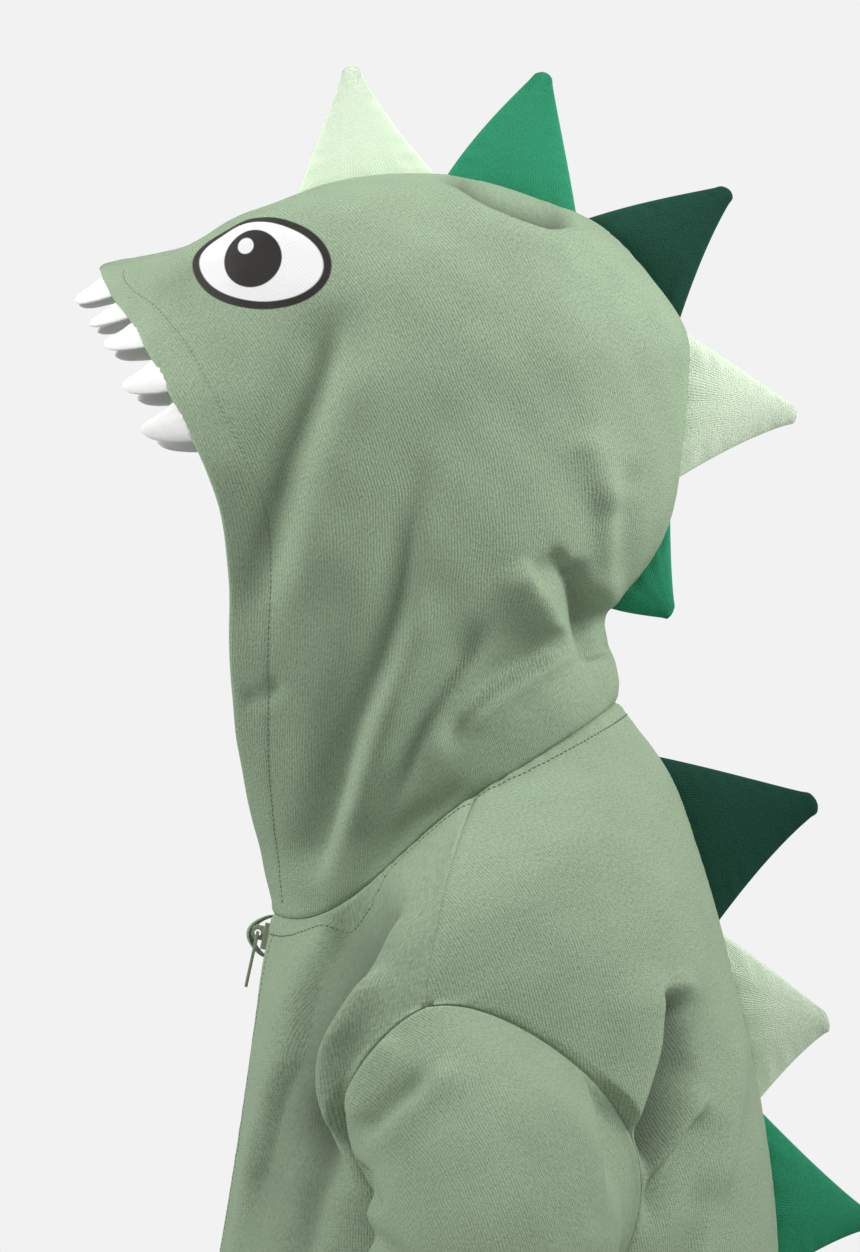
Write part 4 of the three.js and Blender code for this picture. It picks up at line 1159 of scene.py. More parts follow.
@dataclass(frozen=True)
class RibKnit:
    """Rib knit: the same yarn, with the loops showing along each rib and painted shade in the furrows between
    ribs.
    """

    name: str
    colour: Colour

    def build(self) -> bpy.types.Material:
        """Returns the rib's material."""
        shader = Shader(self.name)
        grain = shader.places()
        u, v, furrow = shader.parts(grain)
        loops = (v / 1.3 + (u / 1.7).fraction() * 0.6).wave(1.0)
        nap = shader.noise(grain, 1.0, 3.0, 0.6)
        # painted shade: the tone rises on each ridge, so the furrows between ribs are painted darker
        tone = (loops * 0.2 + nap * 0.7 + furrow * 0.45 - 0.22).held()
        return shader.dress(
            {
                "Base Color": shader.colours(tone, tinted(self.colour, 0.72), tinted(self.colour, 1.15)),
                "Roughness": 0.86 + nap * 0.1,
                "Normal": shader.bump(loops * 0.5 + nap * 0.5, 0.45, 0.7),
                "Specular IOR Level": 0.25,
                "Sheen Weight": 0.2,
                "Sheen Roughness": 0.55,
            }
        )


@dataclass(frozen=True)
class BrushedFleece:
    """Short white fleece, matted into small tufts."""

    name: str
    colour: Colour

    def build(self) -> bpy.types.Material:
        """Returns the fleece's material."""
        shader = Shader(self.name)
        grain = shader.places()
        tufts = shader.noise(grain, 0.9, 4.0, 0.65)
        soft = shader.noise(grain, 0.25, 2.0, 0.5)
        tone = (tufts * 0.7 + soft * 0.5 - 0.1).held()
        return shader.dress(
            {
                "Base Color": shader.colours(tone, tinted(self.colour, 0.9), tinted(self.colour, 1.05)),
                "Roughness": 0.9 + tufts * 0.08,
                "Normal": shader.bump(tufts, 0.5, 0.6),
                "Specular IOR Level": 0.2,
                "Sheen Weight": 0.3,
                "Sheen Roughness": 0.6,
            }
        )


@dataclass(frozen=True)
class WovenTape:
    """Zip tape: a tight twill weave."""

    name: str
    colour: Colour

    def build(self) -> bpy.types.Material:
        """Returns the tape's material."""
        shader = Shader(self.name)
        grain = shader.places()
        u, v, _ = shader.parts(grain)
        twill = (u + v * 0.7).wave(0.9)
        threads = v.wave(0.5)
        dust = shader.noise(grain, 0.8)
        tone = (twill * 0.5 + threads * 0.2 + dust * 0.3).held()
        return shader.dress(
            {
                "Base Color": shader.colours(tone, tinted(self.colour, 0.75), tinted(self.colour, 1.15)),
                "Roughness": 0.78 + dust * 0.1,
                "Normal": shader.bump(twill * 0.7 + threads * 0.3, 0.2, 0.7),
                "Specular IOR Level": 0.3,
            }
        )


@dataclass(frozen=True)
class Moulded:
    """A hard finish with faint mottling and fine scratches: enamelled metal, nylon or thread."""

    name: str
    colour: Colour
    rough: float
    metallic: float = 0.0
    coat: float = 0.0
    grain: float = 900.0

    def build(self) -> bpy.types.Material:
        """Returns the finish's material."""
        shader = Shader(self.name)
        place = shader.node("ShaderNodeTexCoord", {}, {}, "Object")
        mottle = shader.noise(place, self.grain, 3.0)
        wear = shader.noise(place, self.grain * 0.2, 2.0)
        tone = (mottle * 0.5 + wear * 0.5).held()
        return shader.dress(
            {
                "Base Color": shader.colours(tone, tinted(self.colour, 0.82), tinted(self.colour, 1.15)),
                "Roughness": self.rough - 0.06 + wear * 0.12,
                "Metallic": self.metallic,
                "Coat Weight": self.coat,
                "Normal": shader.bump(mottle, 0.04, 0.5),
            }
        )


@dataclass
class Finishes:
    """The garment's materials, each made once."""

    hood: bpy.types.Material = field(init=False)
    knit: bpy.types.Material = field(init=False)
    rib: bpy.types.Material = field(init=False)
    spikes: dict[str, bpy.types.Material] = field(init=False)
    fleece: bpy.types.Material = field(init=False)
    tape: bpy.types.Material = field(init=False)
    coil: bpy.types.Material = field(init=False)
    enamel: bpy.types.Material = field(init=False)
    thread: bpy.types.Material = field(init=False)
    hood_thread: bpy.types.Material = field(init=False)

    def __post_init__(self) -> None:
        """Makes the materials."""
        sage: Colour = (0.287, 0.374, 0.257)
        # the hood's and the body's knit darken their creases with painted shade
        self.hood = SweatshirtKnit("sage knit with printed eye", sage, painted_shade_weight=1.0, eye=PrintedEye()).build()
        self.knit = SweatshirtKnit("sage sweatshirt knit", sage, painted_shade_weight=1.0).build()
        self.rib = RibKnit("sage rib knit", (0.27, 0.355, 0.24)).build()
        self.spikes = {
            "pale": SweatshirtKnit("pale green knit", (0.74, 0.87, 0.68), fleck=0.06, sheen=0.15).build(),
            "bright": SweatshirtKnit("bright green knit", (0.03, 0.275, 0.145), fleck=0.22).build(),
            "deep": SweatshirtKnit("deep green knit", (0.014, 0.068, 0.045), fleck=0.24).build(),
        }
        self.fleece = BrushedFleece("white brushed fleece", (0.86, 0.86, 0.84)).build()
        self.tape = WovenTape("sage woven tape", (0.24, 0.32, 0.2)).build()
        self.coil = Moulded("sage nylon coil", (0.3, 0.37, 0.25), 0.45).build()
        self.enamel = Moulded("satin green enamel", (0.27, 0.32, 0.2), 0.36, 0.25, 0.3).build()
        # partly painted shade: this thread is darker than the cloth partly for its own colour and partly to
        # stand for the shade in its stitch grooves
        self.thread = Moulded("dark green sewing thread", (0.1, 0.15, 0.09), 0.7, grain=2500.0).build()
        self.hood_thread = Moulded("sage sewing thread", (0.26, 0.34, 0.23), 0.7, grain=2500.0).build()


@dataclass
class Thread:
    """Rows of small stitches that lie on the cloth."""

    pitch: float = 2.4
    length: float = 1.6
    radius: float = 0.3
    sides: int = 6
    rings: tuple[Point, ...] = ((-0.5, 0.45), (-0.32, 1.0), (0.32, 1.0), (0.5, 0.45))
    points: list[Array] = field(default_factory=list)
    faces: list[list[int]] = field(default_factory=list)

    def sew(self, line: tuple[Array, Array], start: float = 0.0, end: float = 1.0) -> None:
        """Lays stitches along a line.

        Args:
            line: The line's points and the cloth's outward direction there.
            start: The share of the line's length where the row starts.
            end: The share of the line's length where it ends.
        """
        marks, ways = line
        passed = run_length(marks, 0)
        count = int(passed[-1] * (end - start) / self.pitch)
        middles = passed[-1] * start + self.pitch * (np.arange(count) + 0.5)
        for middle in middles:
            near, centre, far = (
                np.array([np.interp(middle + off, passed, marks[:, k]) for k in range(3)])
                for off in (-self.length / 2, 0, self.length / 2)
            )
            out = np.array([np.interp(middle, passed, ways[:, k]) for k in range(3)])
            self.stitch(centre, unit(far - near), unit(out))

    def stitch(self, centre: Array, along: Array, out: Array) -> None:
        """Adds one stitch, a short rounded bar half sunk into the cloth."""
        beside = unit(np.cross(along, out))
        first = len(self.points)
        for share, size in self.rings:
            arch = 0.12 * (1 - (2 * share) ** 2)
            middle = centre + along * share * self.length + out * (arch + 0.02)
            for k in range(self.sides):
                turn = 2 * math.pi * k / self.sides
                way = beside * math.cos(turn) + out * math.sin(turn)
                self.points.append(middle + way * self.radius * size)
        for ring in range(len(self.rings) - 1):
            for k in range(self.sides):
                low, high = first + ring * self.sides, first + (ring + 1) * self.sides
                after = (k + 1) % self.sides
                self.faces.append([low + k, low + after, high + after, high + k])
        last = first + (len(self.rings) - 1) * self.sides
        self.faces.append([first + k for k in reversed(range(self.sides))])
        self.faces.append([last + k for k in range(self.sides)])

    def build(self, name: str, finish: bpy.types.Material, slot: str, *nodes: str) -> None:
        """Makes all the stitches as one piece that rides with the garment."""
        piece = make_object(name, self.points, self.faces, finish)
        settle(piece, "garment", slot, *nodes)


def row_of_each(rows: Array, grid: Array) -> Array:
    """Returns the place of its own row for every point of a grid."""
    return np.repeat(rows[:, None], grid.shape[1], axis=1)


SEWN_LINES = (0, 0.6, 1.2, 2.0, 3.2)
TURNED_LINES = (0, 0.3, 0.7, 1.3, 2.2)


def lines_at(row: float, start: tuple[float, ...] = TURNED_LINES) -> tuple[float, ...]:
    """Returns distances from an edge that are close together at the edge and at a row of stitching."""
    between = tuple(np.linspace(start[-1], row - 1, max(int((row - 1 - start[-1]) / 2.2), 1) + 1)[1:-1])
    return (*start, *between, row - 0.9, row - 0.4, row, row + 0.4, row + 0.9, row + 2)


@dataclass
class Part:
    """A part of the garment, made in its finishes on the body's shape."""

    body: BodySurface
    finishes: Finishes


@dataclass
class Hood(Part):
    """The two halves of the hood, sewn along the crown and hemmed round the face opening."""

    rows: int = 172
    last_row: float = 0.9985
    neck_rows: tuple[float, ...] = (0.0013, 0.0027, 0.0042)
    columns: int = 104
    hem: float = 18.0
    cut: tuple[float, float, float] = (0.28, 0.36, 0.078)
    eye_at: Point = (-84.0, 228.0)
    eye_tilt: float = math.radians(-12)

    def build(self, thread: Thread) -> None:
        """Makes both halves and their stitching."""
        surface = HoodSurface(self.body)
        rows = np.sort(np.concatenate([np.linspace(0, self.last_row, self.rows), self.neck_rows]))
        ends = np.zeros_like(rows), np.ones_like(rows)
        across = stations(surface, *ends, rows, lines_at(self.hem), SEWN_LINES, self.columns)
        at = row_of_each(rows, across)
        for side in Side:
            panel = Panel(
                name=f"hood_{side.label}_cloth",
                surface=surface,
                a=across,
                b=at,
                side=side,
                seams={
                    Edge.FRONT: Seam(turned=True, rows=(self.hem,), depth=self.hem, groove=0.1),
                    Edge.REAR: Seam(),
                    Edge.LOWER: Seam(puff=0.8, width=1.6),
                },
                cut=self.cut,
                relief=Relief(HOOD_FOLDS, side, seed=11 + side.value),
            )
            piece = panel.build(self.finishes.hood, "sweatshirt_knit", f"hood_{side.label}")
            write_places(piece, "eye", np.tile(self.eye_places(panel), (2, 1)))
            thread.sew(panel.line(Edge.FRONT, self.hem), 0.02, 0.97)

    def eye_places(self, panel: Panel) -> Array:
        """Returns every point's place on the cloth from the middle of the printed eye."""
        base = panel.base.reshape(-1, 3)
        outward = (panel.outward * np.array([panel.side.value, 1, 1])).reshape(-1, 3)
        middle = np.hypot(base[:, 1] - self.eye_at[0], base[:, 2] - self.eye_at[1]).argmin()
        back = unit(np.array([0, 1, 0]) - outward[middle] * outward[middle][1])
        up = np.cross(back, outward[middle])
        up = up * np.sign(up[2])
        off = base - base[middle]
        flat = np.stack([off @ back, off @ up], -1)
        stretch = np.linalg.norm(off, axis=1) / np.maximum(np.linalg.norm(flat, axis=1), 1e-6)
        flat = flat * np.clip(stretch, 1, 4)[:, None]
        cosine, sine = math.cos(self.eye_tilt), math.sin(self.eye_tilt)
        turned = (flat[:, 0] * cosine + flat[:, 1] * sine, flat[:, 1] * cosine - flat[:, 0] * sine)
        return np.stack([*turned, np.zeros(len(flat))], -1)


@dataclass
class Body(Part):
    """The fronts and backs, from the hem seam to the neck seam."""

    side_rows: int = 52
    armhole_rows: int = 116
    shoulder_rows: int = 40
    neck_rows: tuple[float, ...] = (0.9990, 0.9977, 0.9962, 0.9938, 0.985, 0.9838, 0.9826, 0.9814)
    front_columns: int = 84
    back_columns: int = 76
    welt: float = 12.0
    front_neck_stitches: float = 8.5
    back_neck_stitches: float = 7.0
    tape_half_width: float = 14.0
    zip_fade: float = 16.0
    front_cut: tuple[float, float, float] = (0.23, 0.42, 0.078)
    back_cut: tuple[float, float, float] = (0.22, 0.49, 0.09)

    def rows(self) -> Array:
        """Returns the places of the panels' rows, close together at both ends of the armhole."""
        turn = np.linspace(0, np.pi, self.armhole_rows)
        armhole = mix(UNDERARM, SHOULDER_TIP, (1 - np.cos(turn)) / 2)
        side = np.linspace(HEM_SEAM, UNDERARM, self.side_rows)[:-1]
        shoulder = np.linspace(SHOULDER_TIP, NECK_SEAM, self.shoulder_rows)[1:]
        return np.sort(np.concatenate([side, armhole, shoulder, self.neck_rows]))

    def fade_at_zip(self, points: Array) -> Array:
        """Returns the share of the folds that is left near the zip and the centre back."""
        return smooth((points[..., 0] - self.tape_half_width) / self.zip_fade)

    def build(self, thread: Thread) -> None:
        """Makes the four panels and their stitching."""
        rows = self.rows()
        front_edge, back_edge = self.body.armhole(rows)
        zip_edge = self.body.front_angle(FRONT_EDGE_X, rows)
        centre = np.full_like(rows, np.pi)
        welt = lines_at(self.welt)
        front = stations(self.body, zip_edge, front_edge, rows, welt, SEWN_LINES, self.front_columns, 0.5)
        back = stations(self.body, back_edge, centre, rows, SEWN_LINES, SEWN_LINES, self.back_columns, -0.5)
        for side in Side:
            relief = Relief(BODY_FOLDS, side, seed=31 + side.value)
            shared = {"surface": self.body, "side": side, "relief": relief, "keep": self.fade_at_zip}
            front_panel = Panel(
                name=f"front_{side.label}_cloth",
                a=front,
                b=row_of_each(rows, front),
                seams={
                    Edge.FRONT: Seam(turned=True, rows=(self.welt,), depth=self.welt, pucker=0.3),
                    Edge.REAR: Seam(),
                    Edge.LOWER: Seam(puff=1.6, width=2.4),
                    Edge.UPPER: Seam(rows=(self.front_neck_stitches,), pucker=0.25),
                },
                cut=self.front_cut,
                straight=Edge.FRONT,
                **shared,
            )
            back_panel = Panel(
                name=f"back_{side.label}_cloth",
                a=back,
                b=row_of_each(rows, back),
                seams={
                    Edge.FRONT: Seam(),
                    Edge.REAR: Seam(),
                    Edge.LOWER: Seam(puff=1.6, width=2.4),
                    Edge.UPPER: Seam(rows=(self.back_neck_stitches,), pucker=0.25),
                },
                cut=self.back_cut,
                straight=Edge.REAR,
                **shared,
            )
            front_panel.build(self.finishes.knit, "sweatshirt_knit", f"front_{side.label}")
            back_panel.build(self.finishes.knit, "sweatshirt_knit", f"back_{side.label}")
            thread.sew(front_panel.line(Edge.FRONT, self.welt), 0.01, 0.985)
            thread.sew(front_panel.line(Edge.UPPER, self.front_neck_stitches), 0.05, 1.0)
            thread.sew(back_panel.line(Edge.UPPER, self.back_neck_stitches))


@dataclass
class Sleeves(Part):
    """The sleeves and their rib cuffs."""

    rows: int = 128
    end_rows: tuple[float, ...] = (0.0009, 0.0036, 0.0056, 0.993, 0.997)
    columns: int = 144
    ribs: int = 56
    points_a_rib: int = 6
    cuff_rows: int = 14
    cuff_end_rows: tuple[float, ...] = (0.008, 0.02, 0.975, 0.99)
    rib_height: float = 0.5
    cut: tuple[float, float, float] = (0.33, 0.36, 0.088)
    cuff_cut: tuple[float, float, float] = (0.17, 0.052, 0.0088)

    def build(self) -> None:
        """Makes both sleeves and both cuffs."""
        turns = np.linspace(np.pi, 3 * np.pi, self.columns, endpoint=False)
        even = np.linspace(0, 1, self.rows) ** 1.3
        rows = np.sort(np.concatenate([even, self.end_rows]))
        angle, at = np.meshgrid(turns, rows)
        for side in Side:
            sleeve = Panel(
                name=f"sleeve_{side.label}_cloth",
                surface=SleeveSurface(self.body),
                a=angle,
                b=at,
                side=side,
                seams={Edge.LOWER: Seam(puff=0.7), Edge.UPPER: Seam(puff=1.6, width=2.4, pucker=0.5)},
                cut=self.cut,
                relief=Relief(SLEEVE_FOLDS, side, seed=51 + side.value),
                closed=True,
            )
            sleeve.build(self.finishes.knit, "sweatshirt_knit", f"sleeve_{side.label}")
            self.build_cuff(side)

    def build_cuff(self, side: Side) -> None:
        """Makes one cuff of rib knit."""
        count = self.ribs * self.points_a_rib
        turns = np.linspace(np.pi, 3 * np.pi, count, endpoint=False)
        places = np.sort(np.concatenate([np.linspace(0, 1, self.cuff_rows), self.cuff_end_rows]))
        angle, at = np.meshgrid(turns, places)
        cuff = Panel(
            name=f"cuff_{side.label}_rib",
            surface=CuffSurface(),
            a=angle,
            b=at,
            side=side,
            seams={Edge.UPPER: Seam(turned=True)},
            cut=self.cuff_cut,
            extra=RibRelief(self.points_a_rib, self.rib_height).read,
            closed=True,
        )
        cuff.build(self.finishes.rib, "rib_knit", f"cuff_{side.label}")


@dataclass
class RibRelief:
    """The ridges and furrows of a rib-knit band, whose columns of points keep step with them."""

    points_a_rib: int
    height: float

    def read(self, across: Array, along: Array) -> tuple[Array, Array]:
        """Returns the relief of the ribs over a panel, and 1 on each ridge and 0 in each furrow for the rib
        knit's painted shade.
        """
        turn = 2 * np.pi * np.arange(across.shape[1]) / self.points_a_rib
        ridge = np.broadcast_to((0.5 + 0.5 * np.cos(turn)) ** 0.7, across.shape)
        return (ridge - 1) * 2 * self.height * smooth(0.35 + along / 4), ridge


@dataclass
class HemBand(Part):
    """The rib band round the hem, from one side of the zip to the other."""

    ribs: int = 248
    points_a_rib: int = 6
    rows: int = 10
    end_rows: tuple[float, ...] = (0.01, 0.024)
    rib_height: float = 0.75
    cut: tuple[float, float, float] = (0.8, 0.046, 0.0365)

    def build(self) -> None:
        """Makes the band."""
        fine = np.linspace(0, 1, 2000)
        start = float(self.body.front_angle(FRONT_EDGE_X, np.array(HEM_SEAM)))
        angles = mix(start, 2 * np.pi - start, fine)
        passed = run_length(self.body.point(angles, np.full_like(angles, HEM_SEAM)), 0)
        count = self.ribs * self.points_a_rib + 1
        turns = np.interp(np.linspace(0, passed[-1], count), passed, angles)
        places = np.sort(np.concatenate([np.linspace(0, 1, self.rows), self.end_rows]))
        angle, at = np.meshgrid(turns, mix(HEM_BOTTOM, HEM_SEAM, places))
        band = Panel(
            name="hem_band_rib",
            surface=self.body,
            a=angle,
            b=at,
            side=Side.LEFT,
            seams={Edge.LOWER: Seam(turned=True)},
            cut=self.cut,
            extra=RibRelief(self.points_a_rib, self.rib_height).read,
        )
        band.build(self.finishes.rib, "rib_knit", "hem_band")


TAPER = Sections(
    ("height", "width", "thick"),
    (
        (0, 1, 0.75),
        (0.1, 0.908, 0.95),
        (0.3, 0.722, 1),
        (0.55, 0.488, 0.82),
        (0.78, 0.278, 0.6),
        (0.92, 0.158, 0.44),
        (0.965, 0.128, 0.36),
        (0.985, 0.096, 0.28),
        (1, 0.03, 0.12),
    ),
)


TOOTH_TAPER = Sections(
    ("height", "width", "thick"),
    (
        (0, 1, 0.75),
        (0.1, 0.93, 0.95),
        (0.3, 0.79, 1),
        (0.55, 0.62, 0.95),
        (0.78, 0.46, 0.8),
        (0.93, 0.29, 0.55),
        (1, 0.08, 0.2),
    ),
)


@dataclass(frozen=True)
class PaddedPoint:
    """A padded triangle with a rounded tip that stands on a curve, sewn round its edge.

    base runs from 0 to 1 along the curve. thin is the direction of its thickness, and bow pushes its sides
    out. apart keeps the grain of its two faces from matching.
    """

    name: str
    base: Callable[[Array], Array]
    tip: Array
    thin: Array
    bow: Point
    edge: float
    middle: float
    seed: int
    taper: Sections = TAPER
    rings: int = 40
    points: int = 48
    apart: float = 40.0

    def build(self, finish: bpy.types.Material, slot: str, node: str, fill: float) -> None:
        """Makes the padded piece, which stands for its CAD node.

        Args:
            finish: The cloth's material.
            slot: The record's material slot; not used.
            node: The CAD node that it stands for.
            fill: How full it is, from 0 to 1; not used.
        """
        turn = 2 * np.pi * np.arange(self.points) / self.points
        height = 1 - (1 - np.linspace(0, 1, self.rings)) ** 1.25
        turn, height = np.meshgrid(turn, height)
        piece = make_object(self.name, self.surface(turn, height).reshape(-1, 3), self.faces(), finish)
        share = (1 - np.cos(turn)) / 2
        foot = self.base(np.array([0.0, 1.0]))
        run, rise = np.linalg.norm(foot[1] - foot[0]), np.linalg.norm(self.tip - foot.mean(0))
        grain = np.stack([share * run, height * rise, np.sign(np.sin(turn)) * self.apart], -1).reshape(-1, 3)
        write_places(piece, "grain", grain)
        settle(piece, "garment", slot, node)

    def surface(self, turn: Array, height: Array) -> Array:
        """Returns the padded surface's points: turn goes round each ring, height from the base to the tip."""
        start, end = self.base(np.array([0.0, 1.0]))
        foot, run, rise = (start + end) / 2, end - start, self.tip - (start + end) / 2
        taper = self.taper.read(height)
        share = (1 - np.cos(turn)) / 2
        curved = self.base(share) - mix(start, end, share[..., None])
        bow = 4 * height * (1 - height) / np.linalg.norm(run)
        wide = (share - 0.5) * taper.width + (share * self.bow[1] - (1 - share) * self.bow[0]) * bow
        sine = np.abs(np.sin(turn))
        plump = self.edge * sine**0.45 + (self.middle - self.edge) * sine**1.5
        face = np.sign(np.sin(turn))
        thick = plump * taper.thick * face + self.wrinkles(share, height, rise) * face * sine
        return (
            foot
            + rise * height[..., None]
            + run * wide[..., None]
            + curved * ((1 - height) ** 2)[..., None]
            + self.thin * thick[..., None]
        )

    def wrinkles(self, share: Array, height: Array, rise: Array) -> Array:
        """Returns the small wrinkles along the sewn edges and the seam at the base."""
        random = np.random.default_rng(self.seed)
        phases = random.uniform(0, 2 * np.pi, 6)
        length = np.linalg.norm(rise)
        along = height * length
        rim = np.exp(-((np.minimum(share, 1 - share) / 0.16) ** 2))
        foot = np.exp(-along / 9)
        ripple = np.sin(along * 2 * np.pi / 8.5 + phases[0]) * np.sin(along / 9 + phases[1])
        pleat = np.sin(share * 2 * np.pi * 4.5 + phases[2])
        pleat = pleat + 0.6 * np.sin(share * 2 * np.pi * 7.3 + phases[3])
        broad = np.sin(along / 14 + phases[4] + 3 * share) * 0.3
        return (0.4 * rim * ripple + 0.5 * foot * pleat + 2 * broad * (1 - height)) * (self.middle / 4.2)

    def faces(self) -> list[list[int]]:
        """Returns the closed surface's faces, with each end closed by strips across its thickness."""
        count, last = self.points, (self.rings - 1) * self.points
        half = count // 2
        faces = []
        for ring in range(self.rings - 1):
            low, high = ring * count, (ring + 1) * count
            for j in range(count):
                after = (j + 1) % count
                faces.append([low + j, low + after, high + after, high + j])
        faces.append([0, count - 1, 1])
        faces.append([last, last + 1, last + count - 1])
        for j in range(1, half - 1):
            faces.append([j, count - j, count - j - 1, j + 1])
            faces.append([last + j, last + j + 1, last + count - j - 1, last + count - j])
        faces.append([half - 1, half + 1, half])
        faces.append([last + half - 1, last + half, last + half + 1])
        return faces


@dataclass(frozen=True)
class SpikeRow:
    """One spike: start and end are places or heights on the centre seam, and lean is its tip's lean."""

    number: int
    colour: str
    start: float
    end: float
    tip_y: float
    tip_z: float
    lean: float
    bow: Point


@dataclass
class Spikes(Part):
    """The padded spikes along the hood's centre seam and down the centre back."""

    sunk: float = 1.4
    hood_rows: tuple[SpikeRow, ...] = (
        SpikeRow(1, "pale", 0.864, 0.76, -47, 315.5, 1, (0, -2.2)),
        SpikeRow(2, "bright", 0.757, 0.654, 36.5, 313, -2, (2.4, 0.4)),
        SpikeRow(3, "deep", 0.649, 0.519, 116, 262, 2, (1.6, -1.6)),
        SpikeRow(4, "pale", 0.512, 0.357, 145, 165.5, -3, (1, -2)),
        SpikeRow(5, "bright", 0.338, 0.184, 91, 80, 5, (-1, 1)),
    )
    back_rows: tuple[SpikeRow, ...] = (
        SpikeRow(6, "deep", 20, -53.5, 153.5, -1, 0, (0.8, -2)),
        SpikeRow(7, "pale", -56, -130, 158.5, -95, 4, (1.4, -1.4)),
        SpikeRow(8, "bright", -132, -205, 177, -181, -3, (-1.4, -1.6)),
        SpikeRow(9, "deep", -207.5, -280, 187, -250, 2, (0.8, -1.6)),
        SpikeRow(10, "pale", -282.5, -353, 189, -325, -2, (1, -1.4)),
        SpikeRow(11, "bright", -355.5, -425, 187, -399, 1, (0.8, -1.4)),
    )

    def seam_on_hood(self, start: float, end: float) -> Callable[[Array], Array]:
        """Returns the hood's centre seam between two places."""
        surface = HoodSurface(self.body)
        return lambda share: surface.point(np.ones_like(share), mix(start, end, share))

    def seam_on_back(self, start: float, end: float) -> Callable[[Array], Array]:
        """Returns the centre back between two heights."""
        places = np.linspace(HEM_BOTTOM, NECK_SEAM, 2001)
        heights = BODY.read(places).back_z
        low, high = np.interp([start, end], heights, places)
        return lambda share: self.body.point(np.full_like(share, np.pi), mix(low, high, share))

    def sink(self, seam: Callable[[Array], Array]) -> Callable[[Array], Array]:
        """Returns a seam moved into the cloth, so that a spike grows out of it."""

        def base(share: Array) -> Array:
            """Returns the seam's points, sunk in."""
            run = unit(seam(share + SLOPE_STEP) - seam(share - SLOPE_STEP))
            out = np.stack([np.zeros_like(share), -run[..., 2], run[..., 1]], -1)
            return seam(share) * np.array([0, 1, 1]) - out * self.sunk

        return base

    def build(self) -> None:
        """Makes every spike."""
        seams = [(row, self.seam_on_hood(row.start, row.end)) for row in self.hood_rows]
        seams += [(row, self.seam_on_back(row.start, row.end)) for row in self.back_rows]
        for row, seam in seams:
            spike = PaddedPoint(
                name=f"spike_{row.number:02d}_cloth",
                base=self.sink(seam),
                tip=np.array([row.lean, row.tip_y, row.tip_z], float),
                thin=np.array([1.0, 0.0, 0.0]),
                bow=row.bow,
                edge=1.2,
                middle=4.2,
                seed=70 + row.number,
            )
            finish = self.finishes.spikes[row.colour]
            spike.build(finish, f"{row.colour}_cloth", f"spike_{row.number:02d}", 0.35)


@dataclass(frozen=True)
class ToothRow:
    """One tooth: start and end are places up the face opening's edge, and reach is its tip from its base."""

    start: float
    end: float
    reach: tuple[float, float, float]
    bow: Point


@dataclass
class Teeth(Part):
    """The soft teeth round the face opening, tucked behind its hem."""

    tucked: float = 2.2
    behind: float = 1.6
    rows: tuple[ToothRow, ...] = (
        ToothRow(0.984, 0.872, (-1, -13.5, -6.4), (-0.6, 1)),
        ToothRow(0.848, 0.767, (-2, -13.8, -6.2), (-0.8, 1)),
        ToothRow(0.752, 0.67, (-3, -14.5, -4.6), (-1, 1)),
        ToothRow(0.645, 0.576, (-3, -15.2, -5.2), (-1, 1.2)),
        ToothRow(0.562, 0.492, (-3, -16.8, -4.4), (-1, 1.2)),
    )

    def build(self) -> None:
        """Makes every tooth."""
        surface = HoodSurface(self.body)
        for side in Side:
            mirror = np.array([side.value, 1, 1])
            for number, row in enumerate(self.rows, 1):
                tooth = self.tooth(surface, row, mirror, f"tooth_{side.label}_{number}")
                tooth.build(self.finishes.fleece, "white_cloth", f"tooth_{side.label}_{number}", 0.15)

    def tooth(self, surface: HoodSurface, row: ToothRow, mirror: Array, node: str) -> PaddedPoint:
        """Shapes one tooth.

        Args:
            surface: The hood.
            row: The tooth's place and reach.
            mirror: 1 or -1 for each axis, to put it on its side.
            node: The CAD node's name.

        Returns:
            The tooth.
        """

        def base(share: Array) -> Array:
            """Returns the tooth's base line, tucked inside the hem."""
            at = mix(row.start, row.end, share)
            edge = surface.point(np.zeros_like(at), at)
            outwards = unit(edge - surface.point(np.full_like(at, 0.02), at))
            behind = surface.normal(np.zeros_like(at), at) * self.behind
            return (edge - behind - outwards * self.tucked) * mirror

        start, end = base(np.array([0.0, 1.0]))
        reach = np.array(row.reach) * mirror
        return PaddedPoint(
            name=f"{node}_cloth",
            base=base,
            tip=(start + end) / 2 + reach * (1 + self.tucked / 15),
            thin=unit(np.cross(end - start, reach)),
            bow=row.bow,
            edge=0.7,
            middle=2.1,
            seed=90,
            taper=TOOTH_TAPER,
            rings=22,
            points=32,
        )


